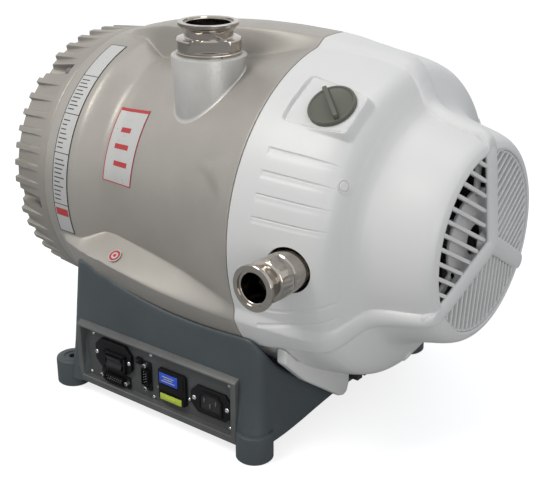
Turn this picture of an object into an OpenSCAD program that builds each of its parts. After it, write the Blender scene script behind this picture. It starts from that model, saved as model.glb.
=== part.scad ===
// Dry scroll vacuum pump on a cast base. Millimetres, +Z up, +X along the shaft towards the fan.
// The origin is on the floor, at the centre of the four foot holes.

/* [Whole pump] */
// Height of the shaft axis above the floor
axis_h = 206; // [202:1:212]
// Radius of the body where the cowl meets the housing
casing_r = 156.3; // [153:0.1:160]
// Length of the pump housing, from the fixed scroll to the cowl
housing_len = 247.5; // [244:0.5:252]
// Distance of the cowl seam from the centre of the feet
seam_x = 106.5; // [104:0.5:109]
// Length of the cowl, without the hub of its end bars
cowl_len = 163.5; // [158:0.5:170]
// Gap left between fixed pieces that touch
seat_gap = 0.3; // [0.2:0.05:0.5]
// Radial clearance of running fits
run_gap = 0.04; // [0.02:0.01:0.08]

/* [Ridges] */
// Greatest height of the three long ridges above the panels
ridge_rise = 30.5; // [24:0.5:32]
// Half width of the ridges at their foot
ridge_half = 29; // [26:0.5:32]

/* [Housing] */
// Wall of the housing round the motor
housing_wall = 8.5; // [7:0.5:10]
// Radius of the chamber of the orbiting scroll
chamber_r = 118; // [116.5:0.5:119]
// Depth of the chamber behind the fixed scroll
chamber_depth = 45; // [43:1:48]
// Depth of the room round the bellows
bellows_room = 40; // [38:1:44]
// Thickness of the bulkhead between pump and motor
bulkhead_t = 12; // [10:1:14]
// Length of the bearing tube behind the bulkhead
bearing_tube_len = 34; // [30:1:36]
// Radius of the inlet boss at its top
boss_r = 34.5; // [33:0.5:36]
// Height of the top of the inlet boss above the shaft axis
boss_top = 145; // [141:1:149]
// Distance of the inlet axis from the shaft axis
inlet_y = 72; // [69:0.5:75]
// Distance of the inlet axis from the centre of the feet
inlet_x = 20; // [16:1:24]
// Radius of the cast inlet duct inside the housing
duct_r = 10; // [9:0.5:10.5]

/* [Fixed scroll] */
// Length of the fixed scroll, over its fins
scroll_end_len = 49; // [46:0.5:52]
// Radius of the fixed scroll at its joint face
scroll_end_r = 137.5; // [136:0.5:139]
// Depth of the radial fins on the end face
fin_depth = 28; // [24:0.5:30]
// Thickness of one fin
fin_t = 6; // [4.5:0.25:6.5]
// Places round the rim for fins and bolts
fin_places = 48; // [48:12:48]
// Drop of the end cap's rim from the joint face to its front edge
fin_rise = 8; // [6.5:0.5:9]
// Thickness of the end plate
end_plate_t = 12; // [10:1:14]
// Bolt circle radius of the fixed scroll
scroll_bolt_circle = 129; // [128:0.5:130]
// Radius of a fixed scroll bolt
scroll_bolt_r = 4; // [3:0.5:4.5]

/* [Scroll wraps] */
// Radius of the orbit
orbit_r = 5; // [4:0.25:5.5]
// Thickness of the wraps
wrap_t = 5.5; // [4.5:0.25:6]
// Least gap between the wraps
wrap_gap = 0.25; // [0.15:0.05:0.4]
// Greatest radius of the wraps, at their middle line
wrap_r = 100; // [97:0.5:101]
// Half turns of each wrap
wrap_half_turns = 7; // [5:1:7]
// Height of a tip seal
tip_seal_h = 1.2; // [0.8:0.1:1.6]
// Thickness of the orbiting plate
orbit_plate_t = 10; // [8:0.5:11]
// Radius of the orbiting plate
orbit_plate_r = 110; // [108.5:0.5:111]

/* [Shaft and bearings] */
// Radius of the main shaft
shaft_r = 17.5; // [16.5:0.25:18]
// Radius of the rear shaft
rear_shaft_r = 12.5; // [11.5:0.25:13]
// Radius of the crank pin
pin_r = 12; // [11:0.25:12.5]
// Outer radius of the front bearing
front_bearing_r = 36; // [34:0.5:38]
// Width of the front bearing
front_bearing_w = 17; // [15:0.5:19]
// Outer radius of the rear bearing
rear_bearing_r = 26; // [24.5:0.5:28]
// Width of the rear bearing
rear_bearing_w = 15; // [13:0.5:16]
// Outer radius of the orbit bearing
orbit_bearing_r = 23.5; // [22:0.5:24]
// Width of the orbit bearing
orbit_bearing_w = 15; // [13:0.5:16]
// Inner radius of the bellows
bellows_r = 39; // [38.5:0.25:41]
// Convolutions of the bellows
bellows_folds = 8; // [6:1:10]

/* [Motor] */
// Length of the stator stack
stator_len = 80; // [70:1:86]
// Outer radius of the stator stack
stator_r = 80; // [76:0.5:82]
// Radius of the stator bore
stator_bore_r = 48; // [46:0.5:50]
// Air gap between rotor and stator
air_gap = 0.6; // [0.4:0.1:0.8]
// Wall of the motor casing
motor_wall = 9; // [7:0.5:10]
// Thickness of the motor end bell
end_bell_t = 12; // [10:0.5:14]
// Overhang of the windings past the stator
winding_len = 20; // [16:1:22]
// Radius of the cooling fan
fan_r = 78; // [72:1:82]
// Width of the cooling fan
fan_w = 24; // [20:1:26]

/* [Cowl] */
// Wall of the cowl
cowl_wall = 3.5; // [3:0.25:4]
// Radius of the round bars on the end of the cowl
bar_r = 6; // [5:0.25:7]
// Height of the hub of the bars above the end of the cowl
hub_rise = 10; // [7:0.5:12]
// Thickness of a grille slat
slat_t = 2.6; // [2:0.1:3.2]
// Distance from slat to slat
slat_pitch = 11.5; // [11:0.25:12.5]
// Depth of the grille slats
slat_depth = 13; // [10:0.5:15]
// Radius of the closed middle of the grille
grille_disc_r = 46; // [42:0.5:50]

/* [Inlet and exhaust] */
// Bore radius of the inlet flange
inlet_bore_r = 20.25; // [19.5:0.25:20.5]
// Outer radius of the inlet flange
inlet_flange_r = 27.5; // [26.5:0.25:28]
// Height of the inlet adaptor above its boss
inlet_h = 29; // [26:0.5:32]
// Bore radius of the exhaust flange
exhaust_bore_r = 13; // [12:0.25:13.5]
// Outer radius of the exhaust flange
exhaust_flange_r = 20; // [19.5:0.25:20.5]
// Distance of the exhaust flange face from the shaft axis
exhaust_y = 195; // [190:1:198]
// Distance of the exhaust axis from the seam of the cowl
exhaust_dx = 59.5; // [56:0.5:62]
// Thickness of both clamp flanges at their rim
flange_t = 3; // [2.5:0.25:3.5]

/* [Gas ballast] */
// Radius of the ballast knob
knob_r = 21; // [19:0.5:22]
// Height of the ballast knob disc
knob_h = 5; // [4:0.5:6]
// Angle of the knob round the body, from the far side over the top
knob_angle = 125.7; // [124:0.1:128]
// Distance of the knob from the seam of the cowl
knob_dx = 59.5; // [57:0.5:62]

/* [Base] */
// Foot holes apart along the shaft
foot_x = 240; // [238:1:243]
// Foot holes apart across the shaft
foot_y = 272; // [270:1:274]
// Radius of a foot lug
foot_r = 17.5; // [16:0.5:18.5]
// Height of a foot lug
foot_h = 28; // [24:1:32]
// Radius of a foot hole
foot_hole_r = 4.5; // [3.5:0.25:5.5]
// Width of the base across the shaft, at the floor
base_w = 298; // [296:1:300]
// Height of the gap under the skirt of the base
skirt_gap = 13; // [10:1:16]
// Wall of the base
base_wall = 8; // [7:0.5:9]
// Inward slope of the base walls over their height
base_draft = 12; // [10:0.5:13]
// Radius of the corners of the base
corner_r = 13; // [11:0.5:14]

/* [Connector panel] */
// Width of the panel recess
panel_w = 194; // [190:1:197]
// Height of the panel recess
panel_h = 54; // [52:0.5:56]
// Thickness of the connector panel
panel_t = 2; // [1.5:0.25:2.5]
// Length of the rocker switch housing
switch_w = 49; // [46:0.5:50]
// Height of the rocker switch housing
switch_h = 32; // [30:0.5:33]
// Width of the mains inlet flange
mains_w = 50; // [48:0.5:51]
// Height of the mains inlet flange
mains_h = 28; // [26:0.5:29]
// Fixing screws of the mains inlet apart
mains_pitch = 40; // [39.5:0.1:40.5]
// Jack screws of the logic connector apart
logic_pitch = 33.3; // [33:0.1:33.6]
// Width of the voltage selector
selector_w = 35; // [33:0.5:36]
// Height of the voltage selector
selector_h = 33; // [31:0.5:34]

/* [Hidden] */

// Overrun of cuts past the faces they open
over = 1;
// Roundness of large and small turned faces
fine = 96;
small = 32;

// Places along the shaft
joint_x = seam_x - housing_len;
end_x = seam_x + cowl_len;
hub_x = end_x + hub_rise;
chamber_x = joint_x + chamber_depth;
bulkhead_x = chamber_x + bellows_room;
bearing_x = bulkhead_x + bulkhead_t / 2;
tube_end_x = bulkhead_x + bulkhead_t + bearing_tube_len;
scroll_tip_x = joint_x - scroll_end_len;
end_plate_x = scroll_tip_x + fin_depth;
wrap_x = end_plate_x + end_plate_t;

// Angles of the three ridges and of the panels between them
ridge_angles = [90, 210, 330];
panel_angles = [150, 270, 30];
sector_angles = [-50, -40, -30, -22, -17, -14, -12, -10, -8, -6, -3, 0,
    3, 6, 8, 10, 12, 14, 17, 22, 30, 40, 50, 60];

// Rows of the housing outline: share of its length, panel radius as a share of casing_r, ridge height
// as a share of ridge_rise, and half width of the ridge's flat and foot as shares of ridge_half
housing_shares = [
    [0, .886, 0, .8, 1], [.05, .889, .03, .8, 1], [.093, .892, .18, .82, 1], [.141, .893, .275, .84, 1],
    [.166, .893, .325, .85, 1], [.190, .886, .41, .86, 1], [.214, .8605, .59, .87, 1],
    [.234, .825, .80, .88, 1], [.2545, .803, .93, .88, 1], [.287, .7965, 1, .88, 1],
    [.368, .809, 1, .86, 1], [.489, .835, .96, .8, 1], [.610, .864, .88, .72, 1],
    [.711, .8925, .76, .66, 1], [.812, .928, .587, .6, 1], [.913, .966, .377, .54, 1], [1, 1, .18, .5, 1]
];
// Rows of the cowl outline, in the same shares, along the cowl
cowl_shares = [
    [0, 1, .18, .5, 1], [.113, .990, .18, .45, .9], [.235, .974, .17, .36, .78],
    [.358, .958, .17, .28, .66], [.443, .9405, .197, .24, .6], [.498, .921, .213, .22, .56],
    [.535, .8925, .23, .2, .52], [.560, .857, .262, .19, .5], [.584, .809, .311, .18, .48],
    [.602, .768, .311, .17, .47], [.621, .7325, .295, .16, .46], [.645, .7005, .262, .15, .45],
    [.682, .675, .246, .14, .44], [.743, .6525, .23, .13, .42], [.829, .630, .213, .12, .38],
    [.902, .611, .213, .11, .34], [.951, .592, .213, .1, .31], [.982, .568, .213, .1, .29],
    [1, .5405, .197, .1, .27]
];

// Pump parts
plate_x = chamber_x - seat_gap - 2 * orbit_r;
wrap_room = plate_x - wrap_x;
wrap_h = wrap_room - tip_seal_h - seat_gap;
wrap_pitch = 2 * (orbit_r + wrap_t + wrap_gap);
orbit_back_x = plate_x + orbit_plate_t;
hub_wall = 7;
pin_end_gap = 4;
pin_x0 = orbit_back_x + pin_end_gap;
web_x = pin_x0 + orbit_bearing_w + pin_end_gap;
web_t = 10;
web_r = bellows_r - orbit_r / 2;
weight_x = web_x + web_t;
weight_t = bearing_x - weight_x - 2 * pin_end_gap;
bellows_x0 = orbit_back_x + seat_gap;
bellows_x1 = bulkhead_x - seat_gap;
bellows_depth = 11;
bellows_wall = 1;
room_r = bellows_r + bellows_depth + bellows_wall + orbit_r;
lip_r = shaft_r + front_bearing_w / 3;
retainer_t = 5;
fin_inner_r = 46;
fin_short_r = 88;
rim_bolt_depth = 18;
bolt_head_r = 1.6 * scroll_bolt_r;
bolt_head_h = 2 * scroll_bolt_r;
seal_ring_r = 122;
seal_cord_r = 1.5;
seal_groove_r = 1.9;

// Motor parts
motor_x0 = bulkhead_x + bulkhead_t;
casing_bore_r = stator_r + run_gap;
motor_r = casing_bore_r + motor_wall;
stator_x0 = tube_end_x + winding_len + over;
stator_x1 = stator_x0 + stator_len;
winding_gap = 3;
motor_end_x = stator_x1 + winding_len + 2 * winding_gap;
winding_in = 4;
winding_drop = 6;
winding_r0 = stator_bore_r + winding_in;
winding_r1 = stator_r - winding_drop;
tube_wall = 8;
rear_bearing_x = motor_end_x - rear_bearing_w + end_bell_t;
step_x = rear_bearing_x - seat_gap;
fan_share = 0.63;
fan_x = seam_x + cowl_len * fan_share;
fan_hub_r = 24;
fan_blades = 9;
blade_t = 3;
blade_tilt = 40;
shaft_end_x = fan_x + fan_w + seat_gap;

// Cowl parts
cowl_x0 = seam_x + 2 * seat_gap;
mouth_r = casing_r * cowl_shares[18][1] - cowl_wall;
grille_x = end_x - slat_depth;
slat_drop = 2.4;
slat_count = 6;
ring_t = 3;
disc_t = 3;
cap_r = 5;
cap_share = 0.593;
cap_x = seam_x + cowl_len * cap_share;

// Inlet and exhaust parts
neck_wall = 2;
adaptor_over = 1.9;
adaptor_r = inlet_flange_r + adaptor_over;
adaptor_h = 15;
boss_taper = 2.5;
boss_base_r = boss_r - boss_taper;
exhaust_x = seam_x + exhaust_dx;
exhaust_drop = 3;
exhaust_z = axis_h - exhaust_drop;
exhaust_len = 55;
exhaust_root_y = exhaust_y - exhaust_len;
exhaust_body_r = 18.2;
exhaust_hole_r = 20.5;
exhaust_neck = 9;
pipe_r = 11;
pipe_wall = 2;
collar_t = 5;
pipe_y = motor_r + pipe_r + seat_gap;
screen_t = 1;
screen_seat = screen_t + run_gap;
screen_step = 1.25;
duct_angle = 132;
duct_place_r = chamber_r - duct_r - 2 * over;
duct_wall = 4;
boss_foot_share = 0.25;

// Gas ballast parts
knob_x = seam_x + knob_dx;
pad_drop = 7.6;
pad_r = casing_r - pad_drop;
pad_len = 62;
pad_w = 50;
knob_bar_w = 4;
knob_bar_h = 5;
stem_r = 5;
stem_hole_r = 6;
valve_r = 13;
valve_len = 24;
pad_t = 6;
valve_top_r = pad_r - pad_t;

// Base parts
lug_overhang = 6;
base_x0 = lug_overhang - foot_x / 2;
base_x1 = foot_x / 2 + corner_r;
axis_over_base = 66;
base_top_z = axis_h - axis_over_base;
base_front_y = base_w / 2;
plinth_z = 80;
panel_side = 22;
panel_x0 = base_x0 + panel_side;
panel_lift = 7;
panel_z0 = skirt_gap + panel_lift;
panel_recess = 9;
panel_y = base_front_y - panel_recess;
frame_side = 6;
rib_x = 60;
rib_t = 14;
rib_half = 68;
rib_reach = base_front_y - base_draft - base_wall / 4;
crest_max = max([for (row = housing_shares) crest_radius(row)]);
base_bolt_y = 40;
base_bolt_r = 4;
base_bolt_depth = 6;
board_t = 2;
board_z = 30;
device_rim = 3;

function smooth(t) = t <= 0 ? 0 : t >= 1 ? 1 : t * t * (3 - 2 * t);

// Radius of the outline at one angle from the nearest ridge
function lobe_r(row, a) =
    let (panel = casing_r * row[1], d = panel * sin(abs(a)),
         flat = ridge_half * row[3], foot = ridge_half * row[4])
    panel + ridge_rise * row[2] * (1 - smooth((d - flat) / (foot - flat)));

// Radius of the panels and of the ridge crests in a row
function panel_radius(row) = casing_r * row[1];
function crest_radius(row) = casing_r * row[1] + ridge_rise * row[2];

// The panels' radius at any place along the housing
function panel_at(x) = lookup((x - joint_x) / housing_len, [for (row = housing_shares) [row[0], panel_radius(row)]]);

// A body whose outline swells into three ridges, lofted through the rows of a table
module lobed_body(rows, x0, length, inset = 0) {
    n = 3 * len(sector_angles);
    points = [for (row = rows, ridge = ridge_angles, a = sector_angles)
        let (r = lobe_r(row, a) - inset)
        [x0 + length * row[0], r * cos(ridge + a), axis_h + r * sin(ridge + a)]];
    last = len(rows) - 1;
    sides = [for (i = [0 : last - 1], j = [0 : n - 1])
        let (k = (j + 1) % n, a = i * n + j, b = i * n + k)
        each [[a, a + n, b + n], [a, b + n, b]]];
    start_cap = [for (j = [0 : n - 1]) j];
    end_cap = [for (j = [0 : n - 1]) last * n + n - 1 - j];
    polyhedron(points, concat(sides, [start_cap, end_cap]));
}

// Turns children about the shaft axis: their z axis lies along +X
module on_shaft(x = 0) {
    translate([x, 0, axis_h]) rotate([0, 90, 0]) children();
}

// A turned piece from points [radius, place along the shaft]
module turned(points) {
    on_shaft() rotate_extrude($fn = fine) polygon(points);
}

// A ring about the shaft axis
module ring(x, length, r_in, r_out) {
    on_shaft(x) difference() {
        cylinder(h = length, r = r_out, $fn = fine);
        translate([0, 0, -over]) cylinder(h = length + 2 * over, r = r_in, $fn = fine);
    }
}

// Places children at an angle round the shaft, with their z axis pointing outwards
module at_angle(x, angle, r) {
    translate([x, 0, axis_h]) rotate([angle - 90, 0, 0]) translate([0, 0, r]) children();
}

// Base
module base_shell(inset, top) {
    z0 = skirt_gap - (inset > 0 ? over : 0);
    hull() for (x = [base_x0, base_x1], y = [-1, 1], z = [z0, top])
        let (rise = (z - skirt_gap) / (base_top_z - skirt_gap), s = x < 0 ? 1 : -1)
        translate([x + s * (corner_r + inset + base_draft * rise / 2),
            y * (base_front_y - corner_r - inset - base_draft * rise), z])
            cylinder(h = over, r = corner_r, $fn = small);
}

module foot_places() {
    for (x = [-1, 1], y = [-1, 1]) translate([x * foot_x / 2, y * foot_y / 2, 0]) children();
}

module crest_cut(clear) {
    turned(concat(
        [[0, joint_x - foot_x]],
        [[casing_r * housing_shares[0][1] + clear, joint_x - foot_x]],
        [for (row = housing_shares) [crest_radius(row) + clear, joint_x + housing_len * row[0]]],
        [[crest_radius(cowl_shares[0]) + clear, end_x], [0, end_x]]));
}

module panel_cut(clear) {
    turned(concat([[0, joint_x]],
        [for (row = housing_shares) [panel_radius(row) + clear, joint_x + housing_len * row[0]]],
        [[casing_r + clear, end_x], [0, end_x]]));
}

module base_casting() color([0.27, 0.31, 0.35]) difference() {
    union() {
        difference() {
            union() {
                base_shell(0, base_top_z);
                translate([panel_x0 - frame_side, -base_front_y, skirt_gap])
                    cube([panel_w + 2 * frame_side, base_wall + base_draft, plinth_z - skirt_gap]);
            }
            base_shell(base_wall, base_top_z + over);
            crest_cut(seat_gap);
        }
        difference() {
            for (s = [-1, 1]) translate([s * rib_x - rib_t / 2, -rib_reach, skirt_gap])
                cube([rib_t, 2 * rib_reach, base_top_z - skirt_gap]);
            crest_cut(seat_gap);
        }
        difference() {
            for (s = [-1, 1]) translate([s * rib_x - rib_t / 2, -rib_half, skirt_gap])
                cube([rib_t, 2 * rib_half, base_top_z - skirt_gap]);
            panel_cut(seat_gap);
            translate([base_x0, -ridge_half - seat_gap, axis_h - crest_max - seat_gap])
                cube([base_x1 - base_x0, 2 * (ridge_half + seat_gap), axis_h]);
        }
        foot_places() cylinder(h = foot_h, r = foot_r, $fn = fine);
    }
    translate([panel_x0, -base_front_y - over, panel_z0])
        cube([panel_w, base_front_y - panel_y + over, panel_h]);
    translate([panel_x0 + frame_side, -panel_y - over, panel_z0 + frame_side])
        cube([panel_w - 2 * frame_side, 3 * base_wall, panel_h - 2 * frame_side]);
    foot_places() translate([0, 0, -over]) cylinder(h = foot_h + 2 * over, r = foot_hole_r, $fn = small);
    for (x = [-rib_x, rib_x], y = [-base_bolt_y, base_bolt_y]) translate([x, y, 0])
        cylinder(h = axis_h - casing_r / 2, r = base_bolt_r + run_gap, $fn = small);
}

function bolt_seat_z(x) = axis_h - sqrt(pow(panel_at(x), 2) - pow(base_bolt_y, 2));

module base_bolts() color([0.7, 0.7, 0.72])
    for (x = [-rib_x, rib_x], y = [-base_bolt_y, base_bolt_y]) translate([x, y, 0]) {
        top = bolt_seat_z(x) + base_bolt_depth - seat_gap;
        translate([0, 0, skirt_gap]) cylinder(h = top - skirt_gap, r = base_bolt_r, $fn = small);
        translate([0, 0, skirt_gap - 2 * base_bolt_r])
            cylinder(h = 2 * base_bolt_r, r = 1.6 * base_bolt_r, $fn = small);
    }

// Connector panel and what it carries: panel places are measured from the left end of the recess
screw_r = 1.8;
screw_h = 1.2;
face_y = -panel_y - panel_t;
panel_screw_shares = [[0.06, 0.89], [0.465, 0.89], [0.97, 0.89], [0.03, 0.06], [0.475, 0.06], [0.97, 0.06]];
switch_at = on_face([0.216, 0.59]);
logic_at = on_face([0.216, 0.14]);
lamp_at = on_face([0.39, 0.71]);
serial_at = on_face([0.44, 0.45]);
selector_at = on_face([0.613, 0.44]);
mains_at = on_face([0.862, 0.43]);
function on_face(share) = [panel_x0 + panel_w * share[0], panel_z0 + panel_h * share[1]];
socket_depth = 18;
logic_h = 12;
logic_len = 39.5;
serial_w = 11;
serial_len = 31;
plug_w = 24;
plug_h = 16;
mains_proud = 3.5;

module on_panel(at, out = 0) {
    translate([at[0], face_y - out, at[1]]) rotate([90, 0, 0]) children();
}

module slab(w, h, t) {
    translate([-w / 2, -h / 2, 0]) cube([w, h, t]);
}

module cut_corner_slab(w, h, t, c) {
    linear_extrude(t) polygon([[-w / 2 + c, -h / 2], [w / 2 - c, -h / 2], [w / 2, -h / 2 + c], [w / 2, h / 2 - c],
        [w / 2 - c, h / 2], [-w / 2 + c, h / 2], [-w / 2, h / 2 - c], [-w / 2, -h / 2 + c]]);
}

module connector_panel() color([0.38, 0.41, 0.44]) difference() {
    translate([panel_x0 + seat_gap, face_y, panel_z0 + seat_gap])
        cube([panel_w - 2 * seat_gap, panel_t, panel_h - 2 * seat_gap]);
    on_panel(switch_at, -panel_t - over)
        slab(switch_w - 4 * device_rim, switch_h - 2 * device_rim, panel_t + 2 * over);
    on_panel(selector_at, -panel_t - over)
        slab(selector_w - 2 * device_rim, selector_h - 2 * device_rim, panel_t + 2 * over);
    on_panel(mains_at, -panel_t - over) slab(plug_w + 2 * device_rim, plug_h + 2 * device_rim, panel_t + 2 * over);
}

module panel_screws() color([0.75, 0.76, 0.78])
    for (p = panel_screw_shares) on_panel(on_face(p), seat_gap / 3)
        difference() {
            cylinder(h = screw_h, r = screw_r, $fn = small);
            translate([0, 0, screw_h / 2]) slab(2 * screw_r, screw_r / 3, screw_h);
        }

rocker_w = 21;
rocker_h = 13;
rocker_deep = 9;
rocker_rise = 2.5;
rocker_at = [switch_at[0] + 0.08 * switch_w, switch_at[1] - 0.1 * switch_h];
switch_proud = 7;

module switch_housing() color([0.06, 0.06, 0.07]) difference() {
    union() {
        on_panel(switch_at) cut_corner_slab(switch_w, switch_h, switch_proud, switch_h / 4);
        on_panel(switch_at, -panel_t - socket_depth)
            slab(switch_w - 4 * device_rim - 2 * seat_gap, switch_h - 2 * device_rim - 2 * seat_gap,
                socket_depth + panel_t + over);
    }
    on_panel(rocker_at, switch_proud - rocker_deep)
        slab(rocker_w + 4 * seat_gap, rocker_h + 4 * seat_gap, rocker_deep + over);
}

// Rocker key, tilted about a pin that runs along +X
module power_rocker() color([0.10, 0.10, 0.11])
    translate([rocker_at[0] - rocker_w / 2, face_y - switch_proud + rocker_deep / 2, rocker_at[1]])
        rotate([90, 0, 90]) linear_extrude(rocker_w) polygon([
            [rocker_h / 5, -rocker_h / 5], [rocker_h / 5, rocker_h / 5],
            [-rocker_deep / 2, rocker_h / 2 - 2 * seat_gap], [-rocker_deep / 2 - rocker_rise, rocker_h / 2 - 4 * seat_gap],
            [-rocker_deep / 2 + seat_gap, 0],
            [-rocker_deep / 2 - rocker_rise, 4 * seat_gap - rocker_h / 2], [-rocker_deep / 2, 2 * seat_gap - rocker_h / 2]]);

// D shaped connector shell with jack screws, long side along its first axis
module d_connector(length, w, pitch, proud) {
    c = w / 4;
    difference() {
        union() {
            slab(pitch - 4 * screw_r, w, proud);
            slab(length, w, proud / 4);
        }
        translate([0, 0, proud / 2]) linear_extrude(proud) polygon([[-pitch / 3, w / 4], [pitch / 3, w / 4],
            [pitch / 3 - c, -w / 4], [c - pitch / 3, -w / 4]]);
    }
    for (s = [-1, 1]) translate([s * pitch / 2, 0, proud / 4])
        cylinder(h = proud / 2, r = 1.4 * screw_r, $fn = small);
}

module logic_connector() color([0.05, 0.05, 0.06])
    on_panel(logic_at, seat_gap / 3) d_connector(logic_len, logic_h, logic_pitch, 2 * device_rim);

module serial_connector() color([0.05, 0.05, 0.06])
    on_panel(serial_at, seat_gap / 3) rotate([0, 0, 90]) d_connector(serial_len, serial_w, serial_len - 2 * device_rim, 2 * device_rim);

module status_lamp() color([0.06, 0.06, 0.07]) on_panel(lamp_at, seat_gap / 3) {
    slab(2 * device_rim + screw_r, 2 * device_rim, 2 * device_rim);
    translate([0, 0, device_rim]) cylinder(h = device_rim + screw_h, r = screw_r, $fn = small);
}

window_h = 11;
window_up = 7.5;
drawer_h = 7;
drawer_down = 12;

module voltage_selector() color([0.05, 0.05, 0.06]) difference() {
    union() {
        on_panel(selector_at) slab(selector_w, selector_h, device_rim + screw_h);
        on_panel(selector_at, -panel_t - socket_depth)
            slab(selector_w - 2 * device_rim - 2 * seat_gap, selector_h - 2 * device_rim - 2 * seat_gap,
                socket_depth + panel_t + over);
    }
    on_panel([selector_at[0] - device_rim, selector_at[1] + window_up], device_rim)
        slab(selector_w - 4 * device_rim + 2 * seat_gap, window_h + 2 * seat_gap, device_rim);
    on_panel([selector_at[0], selector_at[1] - drawer_down], device_rim)
        slab(selector_w - 3 * device_rim + 2 * seat_gap, drawer_h + 2 * seat_gap, device_rim);
}

module selector_window() color([0.08, 0.22, 0.75])
    on_panel([selector_at[0] - device_rim, selector_at[1] + window_up], device_rim + run_gap)
        slab(selector_w - 4 * device_rim, window_h, screw_h);

module fuse_drawer() color([0.62, 0.78, 0.12])
    on_panel([selector_at[0], selector_at[1] - drawer_down], device_rim + run_gap)
        slab(selector_w - 3 * device_rim, drawer_h, screw_h + screw_r);

module mains_inlet() color([0.04, 0.04, 0.05]) difference() {
    union() {
        on_panel(mains_at) cut_corner_slab(mains_w, mains_h, mains_proud, device_rim);
        on_panel(mains_at, -panel_t - socket_depth)
            slab(plug_w + 2 * device_rim - 2 * seat_gap, plug_h + 2 * device_rim - 2 * seat_gap,
                socket_depth + panel_t + over);
    }
    on_panel(mains_at, -socket_depth + mains_proud)
        slab(plug_w, plug_h, socket_depth + over);
}

module mains_pins() color([0.75, 0.72, 0.62])
    for (p = [[-0.29, 0.12], [0, -0.12], [0.29, 0.12]])
        on_panel([mains_at[0] + p[0] * plug_w, mains_at[1] + p[1] * plug_h], mains_proud + run_gap - socket_depth)
            slab(screw_r, 2 * screw_r, socket_depth - 2 * mains_proud);

module module_screws() color([0.78, 0.78, 0.8]) {
    for (s = [-1, 1]) {
        on_panel([switch_at[0] + s * (switch_w / 2 - screw_r - 2 * seat_gap), switch_at[1]], switch_proud + run_gap)
            cylinder(h = screw_h, r = screw_r, $fn = small);
        on_panel([mains_at[0] + s * mains_pitch / 2, mains_at[1]], mains_proud + run_gap)
            cylinder(h = screw_h, r = screw_r, $fn = small);
        on_panel([selector_at[0] + s * (selector_w / 2 + 1.5 * screw_r), selector_at[1] - drawer_h], run_gap)
            cylinder(h = screw_h, r = screw_r, $fn = small);
    }
}

module drive_board() color([0.1, 0.35, 0.2])
    translate([-rib_x + rib_t / 2 + seat_gap, -rib_half, board_z])
        cube([2 * rib_x - rib_t - 2 * seat_gap, 2 * rib_half, board_t]);

// Pump housing: one casting from the joint with the fixed scroll to the seam with the cowl
module scroll_bolt_places() {
    for (k = [0 : 5]) at_angle(0, ridge_angles[0] + 37.5 + 60 * k, scroll_bolt_circle) rotate([0, 90, 0]) children();
}

module inlet_place(z) {
    translate([inlet_x, -inlet_y, z]) children();
}

module rear_cavity() {
    turned(concat([[0, motor_x0], [panel_at(motor_x0) - housing_wall, motor_x0]],
        [for (row = housing_shares) if (joint_x + housing_len * row[0] > motor_x0)
            [panel_radius(row) - housing_wall, joint_x + housing_len * row[0]]],
        [[casing_r - housing_wall, seam_x + over], [0, seam_x + over]]));
}

module pump_housing() color([0.70, 0.70, 0.68]) difference() {
    union() {
        difference() {
            union() {
                lobed_body(housing_shares, joint_x, housing_len);
                inlet_place(axis_h + boss_top * boss_foot_share)
                    cylinder(h = boss_top * (1 - boss_foot_share), r1 = boss_base_r, r2 = boss_r, $fn = fine);
            }
            rear_cavity();
        }
        ring(bulkhead_x + bulkhead_t / 2, tube_end_x - bulkhead_x - bulkhead_t / 2, lip_r, front_bearing_r + tube_wall);
        at_angle(motor_x0 - over, duct_angle, duct_place_r) rotate([0, 90, 0])
            cylinder(h = inlet_x - motor_x0 + over, r = duct_r + duct_wall, $fn = small);
    }
    on_shaft(joint_x - over) cylinder(h = chamber_depth + over, r = chamber_r, $fn = fine);
    on_shaft(joint_x) cylinder(h = bulkhead_x - joint_x, r = room_r, $fn = fine);
    on_shaft(joint_x) cylinder(h = motor_x0 - joint_x + over, r = lip_r, $fn = fine);
    on_shaft(bearing_x) cylinder(h = tube_end_x - bearing_x + over, r = front_bearing_r + run_gap, $fn = fine);
    at_angle(chamber_x - over, duct_angle, duct_place_r) rotate([0, 90, 0])
        cylinder(h = inlet_x - chamber_x + duct_r, r = duct_r, $fn = small);
    inlet_place(axis_h + duct_place_r * sin(duct_angle) - duct_r / 2)
        cylinder(h = boss_top, r = inlet_bore_r - screen_step, $fn = fine);
    scroll_bolt_places() translate([0, 0, joint_x - over])
        cylinder(h = rim_bolt_depth + over, r = scroll_bolt_r + run_gap, $fn = small);
    for (x = [-rib_x, rib_x], y = [-base_bolt_y, base_bolt_y]) translate([x, y, bolt_seat_z(x) - 2 * base_bolt_depth])
        cylinder(h = 3 * base_bolt_depth, r = base_bolt_r + run_gap, $fn = small);
}

// Fixed scroll: finned end plate, flange and wrap
rim_r = scroll_end_r - fin_rise;
tip_drop = 3.5;
skirt_t = 5;
skirt_x = scroll_tip_x + 0.05 * fin_depth;
module fin(angle, r_in) {
    at_angle(0, angle, 0) rotate([90, 0, 0]) linear_extrude(fin_t, center = true) polygon([
        [scroll_tip_x, r_in], [scroll_tip_x, scroll_end_r - tip_drop], [wrap_x + over, scroll_end_r - fin_t / 20],
        [wrap_x + over, rim_r - skirt_t / 2],
        [end_plate_x + over, rim_r - skirt_t / 2], [end_plate_x + over, r_in]]);
}

// One spiral wall of half rings whose centres lie a quarter pitch either side of its middle
module wrap(height, thickness) {
    for (i = [0 : wrap_half_turns - 1])
        let (side = i % 2 == 0 ? 1 : -1, r = wrap_r - i * wrap_pitch / 2)
        translate([side * wrap_pitch / 4, 0, 0]) rotate(side > 0 ? 0 : 180)
            rotate_extrude(angle = 180, $fn = fine) translate([r - thickness / 2, 0]) square([thickness, height]);
}

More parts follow.
